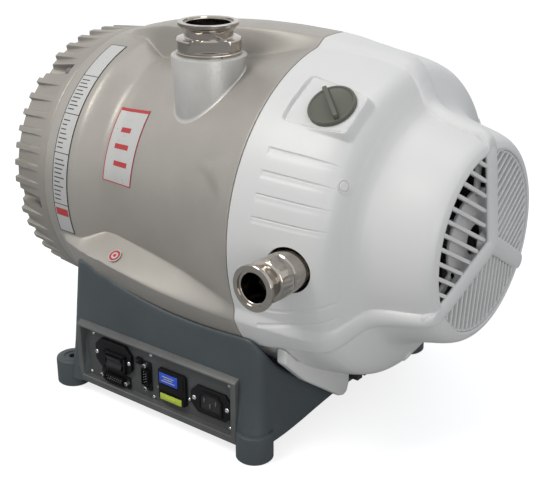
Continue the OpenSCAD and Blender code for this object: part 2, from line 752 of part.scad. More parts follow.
bolt_seat_x = wrap_x - over;
module fixed_scroll() color([0.60, 0.61, 0.60]) difference() {
    union() {
        turned([[0, end_plate_x], [rim_r - skirt_t, end_plate_x], [rim_r - skirt_t, skirt_x], [rim_r, skirt_x],
            [scroll_end_r, wrap_x],
            [scroll_end_r, joint_x], [seal_ring_r + seal_groove_r, joint_x],
            [seal_ring_r + seal_groove_r, joint_x - 2 * seal_groove_r],
            [seal_ring_r - seal_groove_r, joint_x - 2 * seal_groove_r],
            [seal_ring_r - seal_groove_r, joint_x], [chamber_r, joint_x], [chamber_r, wrap_x], [0, wrap_x]]);
        on_shaft(wrap_x - over) wrap(wrap_h + over, wrap_t);
        for (k = [0 : fin_places - 1]) if ((k - 1) % (fin_places / 6) != 0)
            fin(k * 360 / fin_places, k % 2 == 0 ? fin_inner_r : fin_short_r);
    }
    scroll_bolt_places() {
        translate([0, 0, scroll_tip_x]) cylinder(h = joint_x - scroll_tip_x + over, r = scroll_bolt_r + run_gap, $fn = small);
        translate([0, 0, scroll_tip_x]) cylinder(h = bolt_seat_x - scroll_tip_x, r = bolt_head_r + over, $fn = small);
    }
}

module fixed_scroll_bolts() color([0.72, 0.73, 0.75]) scroll_bolt_places() {
    translate([0, 0, bolt_seat_x - over])
        cylinder(h = joint_x + rim_bolt_depth - seat_gap - bolt_seat_x + over, r = scroll_bolt_r, $fn = small);
    difference() {
        translate([0, 0, bolt_seat_x - bolt_head_h]) cylinder(h = bolt_head_h, r = bolt_head_r, $fn = small);
        translate([0, 0, bolt_seat_x - bolt_head_h - over]) cylinder(h = bolt_head_h / 2 + over, r = bolt_head_r / 2, $fn = 6);
    }
}

module fixed_tip_seal() color([0.9, 0.9, 0.86]) on_shaft(wrap_x + wrap_h) wrap(tip_seal_h, wrap_t / 2);

module scroll_seal_ring() color([0.05, 0.05, 0.05]) on_shaft(joint_x - seal_groove_r)
    rotate_extrude($fn = fine) translate([seal_ring_r, 0]) circle(seal_cord_r, $fn = small);

// Places children on the crank pin axis
module on_pin(x) {
    translate([0, 0, orbit_r]) on_shaft(x) children();
}

module orbiting_scroll() color([0.66, 0.67, 0.68]) {
    on_pin(plate_x) cylinder(h = orbit_plate_t, r = orbit_plate_r, $fn = fine);
    on_pin(plate_x - wrap_h) rotate(180) wrap(wrap_h + over, wrap_t);
    difference() {
        on_pin(orbit_back_x - over) cylinder(h = pin_x0 + orbit_bearing_w - orbit_back_x + over,
            r = orbit_bearing_r + hub_wall, $fn = fine);
        on_pin(orbit_back_x) cylinder(h = pin_end_gap + orbit_bearing_w + over, r = orbit_bearing_r + run_gap, $fn = fine);
    }
}

module orbit_tip_seal() color([0.9, 0.9, 0.86])
    on_pin(plate_x - wrap_h - tip_seal_h) rotate(180) wrap(tip_seal_h, wrap_t / 2);

module bearing(length, r_in, r_out) {
    race = (r_out - r_in) / 4;
    difference() {
        cylinder(h = length, r = r_out, $fn = fine);
        translate([0, 0, -over]) cylinder(h = length + 2 * over, r = r_in, $fn = fine);
        for (z = [-over, length - race / 2]) translate([0, 0, z]) difference() {
            cylinder(h = race / 2 + over, r = r_out - race, $fn = fine);
            translate([0, 0, -over]) cylinder(h = race + 3 * over, r = r_in + race, $fn = fine);
        }
    }
}

module orbit_bearing() color([0.75, 0.76, 0.78])
    on_pin(pin_x0) bearing(orbit_bearing_w, pin_r + run_gap, orbit_bearing_r);

module bellows() color([0.78, 0.79, 0.8]) {
    step = (bellows_x1 - bellows_x0) / (2 * bellows_folds);
    zigzag = [for (i = [0 : 2 * bellows_folds]) [bellows_r + (i % 2) * bellows_depth, bellows_x0 + i * step]];
    back = [for (i = [2 * bellows_folds : -1 : 0]) [zigzag[i][0] + bellows_wall, zigzag[i][1]]];
    turned(concat(zigzag, back));
}

// Shaft with its crank pin, web and journals
module crankshaft() color([0.55, 0.56, 0.58]) {
    on_pin(pin_x0) cylinder(h = web_x - pin_x0 + over, r = pin_r, $fn = fine);
    on_shaft(web_x) cylinder(h = web_t, r = web_r, $fn = fine);
    on_shaft(web_x) cylinder(h = step_x - web_x, r = shaft_r, $fn = fine);
    on_shaft(step_x - over) cylinder(h = shaft_end_x - step_x + over, r = rear_shaft_r, $fn = fine);
}

module half_ring(length, r_in, r_out) {
    rotate(-90) rotate_extrude(angle = 180, $fn = fine) translate([r_in, 0]) square([r_out - r_in, length]);
}

module front_counterweight() color([0.6, 0.55, 0.4]) on_shaft(weight_x) half_ring(weight_t, shaft_r, web_r);

module front_bearing() color([0.75, 0.76, 0.78])
    on_shaft(bearing_x) bearing(front_bearing_w, shaft_r + run_gap, front_bearing_r);

module bearing_retainer() color([0.4, 0.4, 0.42])
    ring(bearing_x + front_bearing_w, retainer_t, (shaft_r + front_bearing_r) / 2, front_bearing_r);

module rear_bearing() color([0.75, 0.76, 0.78])
    on_shaft(rear_bearing_x) bearing(rear_bearing_w, rear_shaft_r + run_gap, rear_bearing_r);

module rear_counterweight() color([0.6, 0.55, 0.4]) on_shaft(stator_x1) half_ring(rear_weight_t, shaft_r, rear_weight_r);
rear_weight_t = 8;
rear_weight_r = stator_bore_r - winding_in;

// Motor
module motor_casing() color([0.5, 0.52, 0.54]) ring(motor_x0, motor_end_x - motor_x0, casing_bore_r, motor_r);

module motor_end_bell() color([0.5, 0.52, 0.54])
    ring(motor_end_x, end_bell_t, rear_bearing_r + run_gap, motor_r);

module motor_stator() color([0.3, 0.3, 0.32]) ring(stator_x0, stator_len, stator_bore_r, stator_r);

module stator_windings() color([0.72, 0.4, 0.2])
    for (x = [stator_x0 - winding_len, stator_x1]) ring(x, winding_len, winding_r0, winding_r1);

module motor_rotor() color([0.35, 0.35, 0.37]) ring(stator_x0, stator_len, shaft_r, stator_bore_r - air_gap);

// Fan on the rear shaft
module cooling_fan() color([0.08, 0.08, 0.09]) {
    ring(fan_x, fan_w, rear_shaft_r, fan_hub_r);
    chord = (fan_w - blade_t) / cos(blade_tilt);
    for (k = [0 : fan_blades - 1]) on_shaft(fan_x + fan_w / 2) rotate(360 * k / fan_blades)
        translate([fan_hub_r - over, 0, 0]) rotate([blade_tilt, 0, 0])
            translate([0, -blade_t / 2, -chord / 2]) cube([fan_r - fan_hub_r, blade_t, chord]);
}

// Cowl: shell with three ridges, closed by three round bars that meet in a hub
bar_foot_r = crest_radius(cowl_shares[17]) - 2 * over;
bar_foot_x = end_x - bar_r - 2 * over;
bar_top_x = hub_x - bar_r - over;
cap_tilt = 58;
cap_h = 5;
cap_turn = 1.4;

module cap_places() {
    for (a = panel_angles) at_angle(cap_x, a + cap_turn, cowl_at(cap_x)) rotate([0, cap_tilt, 0]) children();
}

function cowl_at(x) = lookup((x - seam_x) / cowl_len, [for (row = cowl_shares) [row[0], panel_radius(row)]]);

// Block under the ballast knob, from a radius outwards
module knob_pad(r, height, margin) {
    at_angle(knob_x, knob_angle, r) translate([-pad_len / 2 - margin, -pad_w / 2 - margin, 0])
        cube([pad_len + 2 * margin, pad_w + 2 * margin, height]);
}

// The three bars and their hub, grown by a clearance
module end_bars(clear) {
    lean = atan((bar_top_x - bar_foot_x) / bar_foot_r);
    for (a = ridge_angles) at_angle(bar_top_x, a, 0) rotate([0, -lean, 0])
        cylinder(h = bar_foot_r / cos(lean), r = bar_r + clear, $fn = small);
    on_shaft(hub_x - 2 * (bar_r + over)) cylinder(h = 2 * (bar_r + over), r = 1.5 * bar_r + clear, $fn = small);
}

module fan_cowl() color([0.86, 0.87, 0.88]) {
    difference() {
        union() {
            lobed_body(cowl_shares, cowl_x0 - over, end_x - cowl_x0 + 2 * over);
            knob_pad(pad_r - pad_t / 2, pad_t, 0);
        }
        difference() {
            lobed_body(cowl_shares, cowl_x0 - over, end_x - cowl_x0 + 2 * over, cowl_wall);
            knob_pad(pad_r - pad_t, 2 * pad_t, 2 * over);
        }
        knob_pad(pad_r, 2 * pad_t, over);
        on_shaft(cowl_x0 - 2 * over) cylinder(h = 2 * over, r = casing_r + ridge_rise, $fn = fine);
        on_shaft(end_x) cylinder(h = 2 * over, r = casing_r, $fn = fine);
        at_angle(knob_x, knob_angle, pad_r - 2 * pad_t) cylinder(h = 3 * pad_t, r = stem_hole_r, $fn = small);
        translate([exhaust_x, -exhaust_root_y + exhaust_hole_r, exhaust_z]) rotate([90, 0, 0])
            cylinder(h = exhaust_len, r = exhaust_hole_r, $fn = fine);
        cap_places() translate([0, 0, -2 * cap_h]) cylinder(h = 4 * cap_h, r = cap_r + seat_gap, $fn = small);
    }
    end_bars(0);
}

// Grille: slats along the middle of each sector, an outer ring and a closed disc
module end_grille() color([0.84, 0.85, 0.86]) {
    outer_r = mouth_r - seat_gap;
    difference() {
        ring(grille_x, end_x - slat_drop - grille_x, outer_r - ring_t, outer_r);
        end_bars(seat_gap);
    }
    ring(grille_x, disc_t, grille_hole_r, grille_disc_r);
    for (a = panel_angles, k = [0 : slat_count - 1]) {
        side = (k - (slat_count - 1) / 2) * slat_pitch;
        u0 = (bar_r + seat_gap + (abs(side) + slat_t / 2) / 2) / sin(60);
        u1 = sqrt(pow(outer_r - ring_t / 2, 2) - side * side);
        at_angle(0, a, 0) translate([0, side, 0]) rotate([90, 0, 0]) linear_extrude(slat_t, center = true)
            polygon([[grille_x + over, u0], [dome_x(u0, side), u0], [dome_x(u1, side), u1], [grille_x + over, u1]]);
    }
}
grille_hole_r = 14;
function dome_x(u, side) = hub_x - slat_drop - (hub_x - end_x) * sqrt(u * u + side * side) / mouth_r;

module cowl_screws() color([0.8, 0.81, 0.82]) cap_places() translate([0, 0, -cap_h + over])
    cylinder(h = cap_h, r = cap_r, $fn = small);

// Gas ballast knob, turned about a radial axis, and its valve under the cowl
grip_angle = 45;
module ballast_knob() color([0.25, 0.26, 0.20]) {
    at_angle(knob_x, knob_angle, pad_r + seat_gap) {
        cylinder(h = knob_h, r = knob_r, $fn = fine);
        rotate(grip_angle) translate([-knob_bar_w / 2, over - knob_r, 0]) cube([knob_bar_w, 2 * (knob_r - over), knob_h + knob_bar_h]);
    }
    at_angle(knob_x, knob_angle, valve_top_r - valve_len / 2) cylinder(h = pad_r + over - valve_top_r + valve_len / 2,
        r = stem_r, $fn = small);
}

module ballast_valve() color([0.7, 0.62, 0.4]) at_angle(knob_x, knob_angle, valve_top_r - valve_len) difference() {
    cylinder(h = valve_len, r = valve_r, $fn = fine);
    translate([0, 0, valve_len / 2 - seat_gap]) cylinder(h = valve_len, r = stem_hole_r, $fn = small);
}

// Clamp flange adaptors: a rim with a cone behind it, and a neck
module clamp_end(bore, rim, height) {
    cylinder(h = height, r = bore + neck_wall, $fn = fine);
    translate([0, 0, height - flange_t]) cylinder(h = flange_t, r = rim, $fn = fine);
    translate([0, 0, height - flange_t - (rim - bore - neck_wall) / 3])
        cylinder(h = (rim - bore - neck_wall) / 3, r1 = bore + neck_wall, r2 = rim, $fn = fine);
}

flat_share = 0.765;
module inlet_adaptor() color([0.8, 0.8, 0.8]) inlet_place(axis_h + boss_top) difference() {
    union() {
        clamp_end(inlet_bore_r, inlet_flange_r, inlet_h);
        cylinder(h = flange_t, r = adaptor_r, $fn = fine);
        intersection() {
            cylinder(h = adaptor_h, r = adaptor_r, $fn = fine);
            rotate(knob_angle / 3) translate([-adaptor_r, -adaptor_r * flat_share, 0])
                cube([2 * adaptor_r, 2 * adaptor_r * flat_share, adaptor_h]);
        }
    }
    translate([0, 0, -over]) cylinder(h = inlet_h + 2 * over, r = inlet_bore_r, $fn = fine);
    translate([0, 0, -over]) cylinder(h = screen_seat + over, r = inlet_bore_r + screen_step, $fn = fine);
}

module inlet_screen() color([0.6, 0.6, 0.62]) inlet_place(axis_h + boss_top) difference() {
    cylinder(h = screen_t, r = inlet_bore_r + screen_step - run_gap, $fn = fine);
    for (ring_no = [0 : 2]) for (k = [0 : max(0, 6 * ring_no - 1)])
        rotate(k * 60 / max(1, ring_no)) translate([ring_no * inlet_bore_r / 3, 0, -over])
            cylinder(h = screen_t + 2 * over, r = inlet_bore_r / 8, $fn = small);
}

module exhaust_adaptor() color([0.8, 0.8, 0.8])
    translate([exhaust_x, -exhaust_root_y, exhaust_z]) rotate([90, 0, 0]) difference() {
        union() {
            clamp_end(exhaust_bore_r, exhaust_flange_r, exhaust_len);
            cylinder(h = exhaust_len - exhaust_neck, r = exhaust_body_r, $fn = fine);
        }
        translate([0, 0, -over]) cylinder(h = exhaust_len + 2 * over, r = exhaust_bore_r, $fn = fine);
    }

module exhaust_run(r) {
    translate([motor_x0 + (pipe_r - r) * over, -pipe_y, exhaust_z]) rotate([0, 90, 0])
        cylinder(h = exhaust_x - motor_x0, r = r, $fn = small);
    translate([exhaust_x, -pipe_y, exhaust_z]) rotate([90, 0, 0])
        cylinder(h = exhaust_root_y - pipe_y - seat_gap + (r < pipe_r ? over : 0), r = r, $fn = small);
    translate([exhaust_x, -pipe_y, exhaust_z]) sphere(r, $fn = small);
}

module exhaust_pipe() color([0.75, 0.76, 0.78]) difference() {
    union() {
        exhaust_run(pipe_r);
        translate([exhaust_x, collar_t + seat_gap - exhaust_root_y, exhaust_z]) rotate([90, 0, 0])
            cylinder(h = collar_t, r = exhaust_body_r, $fn = fine);
    }
    exhaust_run(pipe_r - pipe_wall);
}

// Air duct and rubber bumper below the cowl: outline points are [across, up] from the shaft axis
duct_end_y = -12;
duct_points = [[-119, -108], [-20, -184], [duct_end_y, -182], [duct_end_y, -169], [-60, -146], [-103, -118]];
duct_len = 17;
module air_duct() color([0.88, 0.88, 0.87]) translate([base_x1 + seat_gap, 0, axis_h])
    rotate([90, 0, 90]) linear_extrude(duct_len) polygon(duct_points);

bumper_w = 52;
bumper_drop = 15.7;
bumper_z = axis_h - casing_r - bumper_drop;
bumper_ribs = 6;
module tail_bumper() color([0.05, 0.05, 0.05]) difference() {
    translate([base_x1 + seat_gap, duct_end_y + seat_gap, bumper_z]) cube([duct_len, bumper_w, axis_h / 2]);
    turned(concat([[0, seam_x]], [for (row = cowl_shares) [crest_radius(row) + seat_gap, seam_x + cowl_len * row[0]]],
        [[0, end_x]]));
    for (k = [1 : bumper_ribs - 1])
        translate([base_x1, duct_end_y + bumper_w * k / bumper_ribs, bumper_z - over])
        cube([duct_len + 2 * seat_gap + over, bumper_w / bumper_ribs / 2, bumper_w / bumper_ribs / 2 + over]);
}

// Plain label areas: a data strip round the front band, a plate on the panel and a round badge
label_t = 0.4;
strip_x = joint_x + 0.054 * housing_len;
strip_w = 21;
strip_angle_0 = 110.5;
strip_angle_1 = 197;
plate_x0 = joint_x + 0.271 * housing_len;
plate_x1 = joint_x + 0.436 * housing_len;
plate_angle_0 = 137.4;
plate_angle_1 = 170.8;
badge_r = 7;
badge_x = joint_x + 0.376 * housing_len;
badge_place_r = 0.896 * casing_r;
badge_side = 1.08 * ridge_half;

// A thin sector round the shaft, from points [radius, place along the shaft]
module foil(points, from, to) {
    on_shaft() rotate(from + 90) rotate_extrude(angle = to - from, $fn = fine)
        polygon(concat([for (p = points) [p[0] + run_gap, p[1]]],
            [for (i = [len(points) - 1 : -1 : 0]) [points[i][0] + run_gap + label_t, points[i][1]]]));
}

module data_strip() color([0.85, 0.85, 0.83])
    foil([[panel_radius(housing_shares[4]), strip_x], [panel_radius(housing_shares[4]), strip_x + strip_w]],
        strip_angle_0, strip_angle_1);

module front_label() color([0.8, 0.8, 0.8])
    foil([for (x = [plate_x0, joint_x + housing_len * housing_shares[9][0],
        joint_x + housing_len * housing_shares[10][0], plate_x1]) [panel_at(x), x]], plate_angle_0, plate_angle_1);

module round_badge() color([0.85, 0.2, 0.15])
    at_angle(badge_x, ridge_angles[1], badge_place_r) translate([0, badge_side, 0]) rotate([-90, 0, 0])
        cylinder(h = over, r = badge_r, $fn = small);

base_casting();
base_bolts();
connector_panel();
panel_screws();
switch_housing();
power_rocker();
logic_connector();
serial_connector();
status_lamp();
voltage_selector();
selector_window();
fuse_drawer();
mains_inlet();
mains_pins();
module_screws();
drive_board();
pump_housing();
fixed_scroll();
fixed_scroll_bolts();
fixed_tip_seal();
scroll_seal_ring();
orbiting_scroll();
orbit_tip_seal();
orbit_bearing();
bellows();
crankshaft();
front_counterweight();
front_bearing();
bearing_retainer();
rear_bearing();
rear_counterweight();
motor_casing();
motor_end_bell();
motor_stator();
stator_windings();
motor_rotor();
cooling_fan();
fan_cowl();
end_grille();
cowl_screws();
ballast_knob();
ballast_valve();
inlet_adaptor();
inlet_screen();
exhaust_adaptor();
exhaust_pipe();
air_duct();
tail_bumper();
data_strip();
front_label();
round_badge();
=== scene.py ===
"""Dry scroll vacuum pump: looks, in metres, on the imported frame.

Frame: +X along the shaft towards the fan, +Z up, origin on the floor at the centre of the feet.
Angles round the shaft run from the far side (+Y) over the top to the near side (-Y).
"""
import math
import random

import bmesh
import bpy
from mathutils import Matrix, Vector


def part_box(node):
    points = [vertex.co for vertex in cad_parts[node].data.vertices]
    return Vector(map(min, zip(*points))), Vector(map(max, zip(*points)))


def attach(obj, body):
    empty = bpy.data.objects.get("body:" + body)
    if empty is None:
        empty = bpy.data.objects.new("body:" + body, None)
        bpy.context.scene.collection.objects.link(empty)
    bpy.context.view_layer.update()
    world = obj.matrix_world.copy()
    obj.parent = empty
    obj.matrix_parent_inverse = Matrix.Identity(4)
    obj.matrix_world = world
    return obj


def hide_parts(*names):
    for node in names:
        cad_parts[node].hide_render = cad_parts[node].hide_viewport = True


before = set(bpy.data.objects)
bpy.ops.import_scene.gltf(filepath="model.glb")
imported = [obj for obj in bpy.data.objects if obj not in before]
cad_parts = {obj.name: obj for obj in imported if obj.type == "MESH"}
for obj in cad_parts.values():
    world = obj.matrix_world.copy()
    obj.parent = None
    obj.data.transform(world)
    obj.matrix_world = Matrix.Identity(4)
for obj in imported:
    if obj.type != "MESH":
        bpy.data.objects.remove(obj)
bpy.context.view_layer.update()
random.seed(7)
MM = 0.001

# ---------------------------------------------------------------- driving places, from the frame
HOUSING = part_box("pump_housing")
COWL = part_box("fan_cowl")
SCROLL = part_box("fixed_scroll")
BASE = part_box("base_casting")
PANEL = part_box("connector_panel")
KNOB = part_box("ballast_knob")
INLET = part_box("inlet_adaptor")
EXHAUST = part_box("exhaust_adaptor")

JOINT_X = HOUSING[0].x
SEAM_X = HOUSING[1].x
COWL_X = COWL[0].x
TIP_X = SCROLL[0].x
AXIS_Z = (SCROLL[0].z + SCROLL[1].z) / 2
CASING_R = 156.3 * MM
RIDGE_RISE = 30.5 * MM
RIDGE_HALF = 29 * MM
COWL_LEN = 162.9 * MM
END_X = COWL_X + COWL_LEN
HUB_X = COWL[1].x
RIDGE_ANGLES = (90, 210, 330)
PANEL_ANGLES = (150, 270, 30)

# Rows: share of the length, panel radius as a share of CASING_R, ridge height as a share of
# RIDGE_RISE, half width of the ridge's flat and of its foot as shares of RIDGE_HALF
HOUSING_ROWS = (
    (0, .886, 0, .8, 1), (.05, .889, .03, .8, 1), (.093, .892, .18, .82, 1), (.141, .893, .275, .84, 1),
    (.162, .893, .32, .85, 1), (.171, .890, .345, .86, 1), (.181, .882, .41, .86, 1),
    (.239, .813, .855, .88, 1), (.251, .801, .94, .88, 1), (.268, .7965, .98, .88, 1),
    (.30, .7965, 1, .88, 1),
    (.368, .809, 1, .86, 1), (.489, .835, .96, .8, 1), (.610, .864, .88, .72, 1),
    (.711, .8925, .76, .66, 1), (.812, .928, .587, .6, 1), (.913, .966, .377, .54, 1), (1, 1, .18, .5, 1))
COWL_ROWS = (
    (0, 1, .18, .5, 1), (.113, .990, .18, .45, .9), (.235, .974, .17, .36, .78),
    (.358, .958, .17, .28, .66), (.443, .9405, .197, .24, .6), (.498, .921, .213, .22, .56),
    (.535, .8925, .23, .2, .52), (.560, .857, .262, .19, .5), (.584, .809, .311, .18, .48),
    (.602, .768, .311, .17, .47), (.621, .7325, .295, .16, .46), (.645, .7005, .262, .15, .45),
    (.682, .675, .246, .14, .44), (.743, .6525, .23, .13, .42), (.829, .630, .213, .12, .38),
    (.902, .611, .213, .11, .34), (.951, .592, .213, .1, .31), (.982, .568, .213, .1, .305),
    (1, .5405, .197, .1, .30))


# ---------------------------------------------------------------- small mathematics
def mm(*points):
    """Points that are given in millimetres, in metres."""
    return [tuple(v * MM for v in point) for point in points]


def turns(count):
    """Angles in radians of one full turn in equal steps."""
    return [2 * math.pi * i / count for i in range(count)]


def smooth(t):
    t = min(max(t, 0.0), 1.0)
    return t * t * (3 - 2 * t)


def along(rows, t, column):
    """Value of a column at a share of the length, on a monotone cubic through the rows."""
    k = max(i for i in range(len(rows) - 1) if rows[i][0] <= t or i == 0)

    def slope(i):
        if i == 0 or i == len(rows) - 1:
            a, b = (0, 1) if i == 0 else (i - 1, i)
            return (rows[b][column] - rows[a][column]) / (rows[b][0] - rows[a][0])
        left = (rows[i][column] - rows[i - 1][column]) / (rows[i][0] - rows[i - 1][0])
        right = (rows[i + 1][column] - rows[i][column]) / (rows[i + 1][0] - rows[i][0])
        return 0.0 if left * right <= 0 else 2 * left * right / (left + right)

    h = rows[k + 1][0] - rows[k][0]
    s = min(max((t - rows[k][0]) / h, 0.0), 1.0)
    a, b = rows[k][column], rows[k + 1][column]
    return ((2 * s**3 - 3 * s**2 + 1) * a + (s**3 - 2 * s**2 + s) * h * slope(k)
            + (3 * s**2 - 2 * s**3) * b + (s**3 - s**2) * h * slope(k + 1))


def profile(rows, t):
    """Panel radius, ridge rise, half widths of flat and foot, and share of the round bar section."""
    panel, rise = along(rows, t, 1) * CASING_R, along(rows, t, 2) * RIDGE_RISE
    bar = smooth((t - 0.42) / 0.16) if rows is COWL_ROWS else 0.0
    return panel, rise, along(rows, t, 3) * RIDGE_HALF, along(rows, t, 4) * RIDGE_HALF, bar


def ridge_height(shape, lateral):
    """Distance of the outline from the shaft, measured along the ridge's middle plane."""
    panel, rise, flat, foot, bar = shape
    soft = 1 - smooth((lateral - flat) / (foot - flat))
    full = 0.82 * foot
    tube = math.sqrt(1 - (lateral / full) ** 2) if lateral < full else 0.0
    return math.sqrt(max(panel * panel - lateral * lateral, 0.0)) + rise * (soft * (1 - bar) + tube * bar)


def lobe_radius(rows, t, angle, shape=None):
    """Outline radius at a share of the length and an angle round the shaft."""
    shape = shape or profile(rows, t)
    off = math.radians(min(abs((angle - a + 180) % 360 - 180) for a in RIDGE_ANGLES))
    if shape[0] * math.sin(off) > shape[3]:
        return shape[0]
    low, high = shape[0], shape[0] + shape[1] * 1.05
    for _ in range(18):
        r = (low + high) / 2
        if r * math.cos(off) > ridge_height(shape, r * math.sin(off)):
            high = r
        else:
            low = r
    return r


def at(x, angle, r):
    """Point at a place along the shaft, an angle round it and a radius."""
    a = math.radians(angle)
    return Vector((x, r * math.cos(a), AXIS_Z + r * math.sin(a)))


def radial_frame(x, angle, r):
    """Matrix whose z axis points outwards at that place, with x along the shaft."""
    a = math.radians(angle)
    out = Vector((0, math.cos(a), math.sin(a)))
    side = out.cross(Vector((1, 0, 0)))
    m = Matrix((Vector((1, 0, 0)), side, out)).transposed().to_4x4()
    m.translation = at(x, angle, r)
    return m


# ---------------------------------------------------------------- materials
def node_material(name):
    mat = bpy.data.materials.new(name)
    mat.use_nodes = True
    nodes, links = mat.node_tree.nodes, mat.node_tree.links
    return mat, nodes, links, nodes["Principled BSDF"]


def ramp(nodes, links, source, stops):
    node = nodes.new("ShaderNodeValToRGB")
    node.color_ramp.elements[0].position, node.color_ramp.elements[0].color = stops[0]
    node.color_ramp.elements[1].position, node.color_ramp.elements[1].color = stops[-1]
    for position, color in stops[1:-1]:
        node.color_ramp.elements.new(position).color = color
    links.new(source, node.inputs["Fac"])
    return node.outputs["Color"]


def noise(nodes, links, coords, scale, detail=4.0, stretch=None):
    if stretch:
        mapping = nodes.new("ShaderNodeMapping")
        mapping.inputs["Scale"].default_value = stretch
        links.new(coords, mapping.inputs["Vector"])
        coords = mapping.outputs["Vector"]
    node = nodes.new("ShaderNodeTexNoise")
    node.inputs["Scale"].default_value = scale
    node.inputs["Detail"].default_value = detail
    links.new(coords, node.inputs["Vector"])
    return node.outputs["Fac"]


def shade(color, factor):
    return tuple(min(1.0, c * factor) for c in color) + (1.0,)


def finish(name, color, rough=0.5, metal=0.0, grain=900.0, bump=0.12, mottle=0.06, edge=0.0,
           cloud=9.0, stretch=None, rough_span=0.08, distance=0.0003, spec=0.5):
    """Paint, plastic, rubber or metal: cloudy colour, fine grain in bump and roughness, lighter edges: worn
    paint, and where the edge value is high also a painted highlight.
    """
    mat, nodes, links, bsdf = node_material(name)
    coords = nodes.new("ShaderNodeTexCoord").outputs["Object"]
    clouds = noise(nodes, links, coords, cloud, 5.0, stretch)
    base = ramp(nodes, links, clouds, ((0.3, shade(color, 1 - mottle)), (0.7, shade(color, 1 + mottle))))
    fine = noise(nodes, links, coords, grain, 3.0, stretch)
    # edges lighter by pointiness: worn paint, and at high edge values, as on the ledge, a painted highlight
    if edge:
        geometry = nodes.new("ShaderNodeNewGeometry")
        edge_wear_and_highlight = ramp(nodes, links, geometry.outputs["Pointiness"],
                    ((0.52, (0, 0, 0, 1)), (0.60, (edge, edge, edge, 1))))
        mix = nodes.new("ShaderNodeMix")
        mix.data_type = "RGBA"
        links.new(edge_wear_and_highlight, mix.inputs[0])
        links.new(base, mix.inputs[6])
        mix.inputs[7].default_value = shade(color, 1.5)
        base = mix.outputs[2]
    links.new(base, bsdf.inputs["Base Color"])
    links.new(ramp(nodes, links, fine, ((0.3, (rough - rough_span,) * 3 + (1,)),
                                        (0.7, (rough + rough_span,) * 3 + (1,)))), bsdf.inputs["Roughness"])
    bsdf.inputs["Metallic"].default_value = metal
    bsdf.inputs["Specular IOR Level"].default_value = spec
    bump_node = nodes.new("ShaderNodeBump")
    bump_node.inputs["Strength"].default_value = bump
    bump_node.inputs["Distance"].default_value = distance
    links.new(fine, bump_node.inputs["Height"])
    links.new(bump_node.outputs["Normal"], bsdf.inputs["Normal"])
    return mat


HOUSING_GREY = (0.40, 0.375, 0.34)
MATERIALS = {
    "housing": finish("cast_paint", HOUSING_GREY, 0.44, 0.35, 700, 0.35, 0.07, 0.1, 14),
    "boss": finish("boss_cast", (0.54, 0.53, 0.51), 0.42, 0.4, 420, 0.6, 0.08, 0.1, 30),
    "scroll": finish("scroll_paint", (0.35, 0.325, 0.29), 0.44, 0.4, 700, 0.35, 0.07, 0.15, 14),
    "cowl": finish("cowl_paint", (0.755, 0.75, 0.735), 0.40, 0.0, 900, 0.06, 0.02, 0.0, 6),
    "base": finish("base_paint", (0.066, 0.078, 0.084), 0.50, 0.1, 600, 0.5, 0.16, 0.35, 12, spec=0.4),
    # the panel frame's ledge: the base paint made lighter, with bright edges, standing for worn paint and a
    # painted highlight on its chamfer
    "ledge": finish("ledge_wear_and_painted_highlight", (0.10, 0.104, 0.10), 0.42, 0.15, 600, 0.5, 0.25, 0.8, 26, spec=0.5),
    "panel": finish("panel_paint", (0.088, 0.092, 0.092), 0.45, 0.1, 900, 0.2, 0.05, spec=0.3),
    "black": finish("black_plastic", (0.008, 0.008, 0.009), 0.42, 0.0, 1200, 0.25, 0.2, spec=0.15),
    "key": finish("key_plastic", (0.012, 0.012, 0.014), 0.25, 0.0, 1200, 0.1, 0.2, spec=0.3),
    "knob": finish("knob_plastic", (0.105, 0.11, 0.085), 0.48, 0.0, 1400, 0.3, 0.1),
    "blue": finish("blue_plastic", (0.02, 0.09, 0.62), 0.3, 0.0, 900, 0.1, 0.08),
    "yellow": finish("yellow_plastic", (0.50, 0.62, 0.06), 0.4, 0.0, 900, 0.1, 0.08),
    "polished": finish("polished_steel", (0.40, 0.37, 0.335), 0.12, 1.0, 260, 0.05, 0.05, 0.0, 30,
                       (1, 1, 14), 0.05),
    "steel": finish("machined_steel", (0.55, 0.56, 0.58), 0.3, 1.0, 500, 0.1, 0.06, 0.0, 30),
    "alloy": finish("machined_alloy", (0.62, 0.63, 0.64), 0.35, 1.0, 500, 0.12, 0.06),
    # dark iron for the stator, rotor and mains pins; on the grey scroll bolts it also paints the shade of
    # the notches they sit in
    "iron": finish("dark_iron_and_notch_shade", (0.16, 0.16, 0.17), 0.5, 0.8, 500, 0.2, 0.08),
    "brass": finish("brass", (0.62, 0.48, 0.22), 0.3, 1.0, 500, 0.1, 0.06),
    "rubber": finish("rubber", (0.02, 0.02, 0.02), 0.7, 0.0, 900, 0.3, 0.2),
    "seal": finish("seal_plastic", (0.78, 0.78, 0.72), 0.5, 0.0, 900, 0.1, 0.04),
    "board": finish("board_lacquer", (0.03, 0.16, 0.08), 0.3, 0.0, 700, 0.1, 0.1),
    "foil": finish("label_foil", (0.58, 0.575, 0.56), 0.35, 0.3, 300, 0.01, 0.02),
    "ink": finish("label_ink", (0.03, 0.03, 0.03), 0.4, 0.0, 900, 0.05, 0.05),
    "red": finish("red_ink", (0.50, 0.035, 0.04), 0.4, 0.0, 900, 0.05, 0.05),
    "dark": finish("dark_inside", (0.012, 0.012, 0.013), 0.7, 0.0, 600, 0.1, 0.2),
}
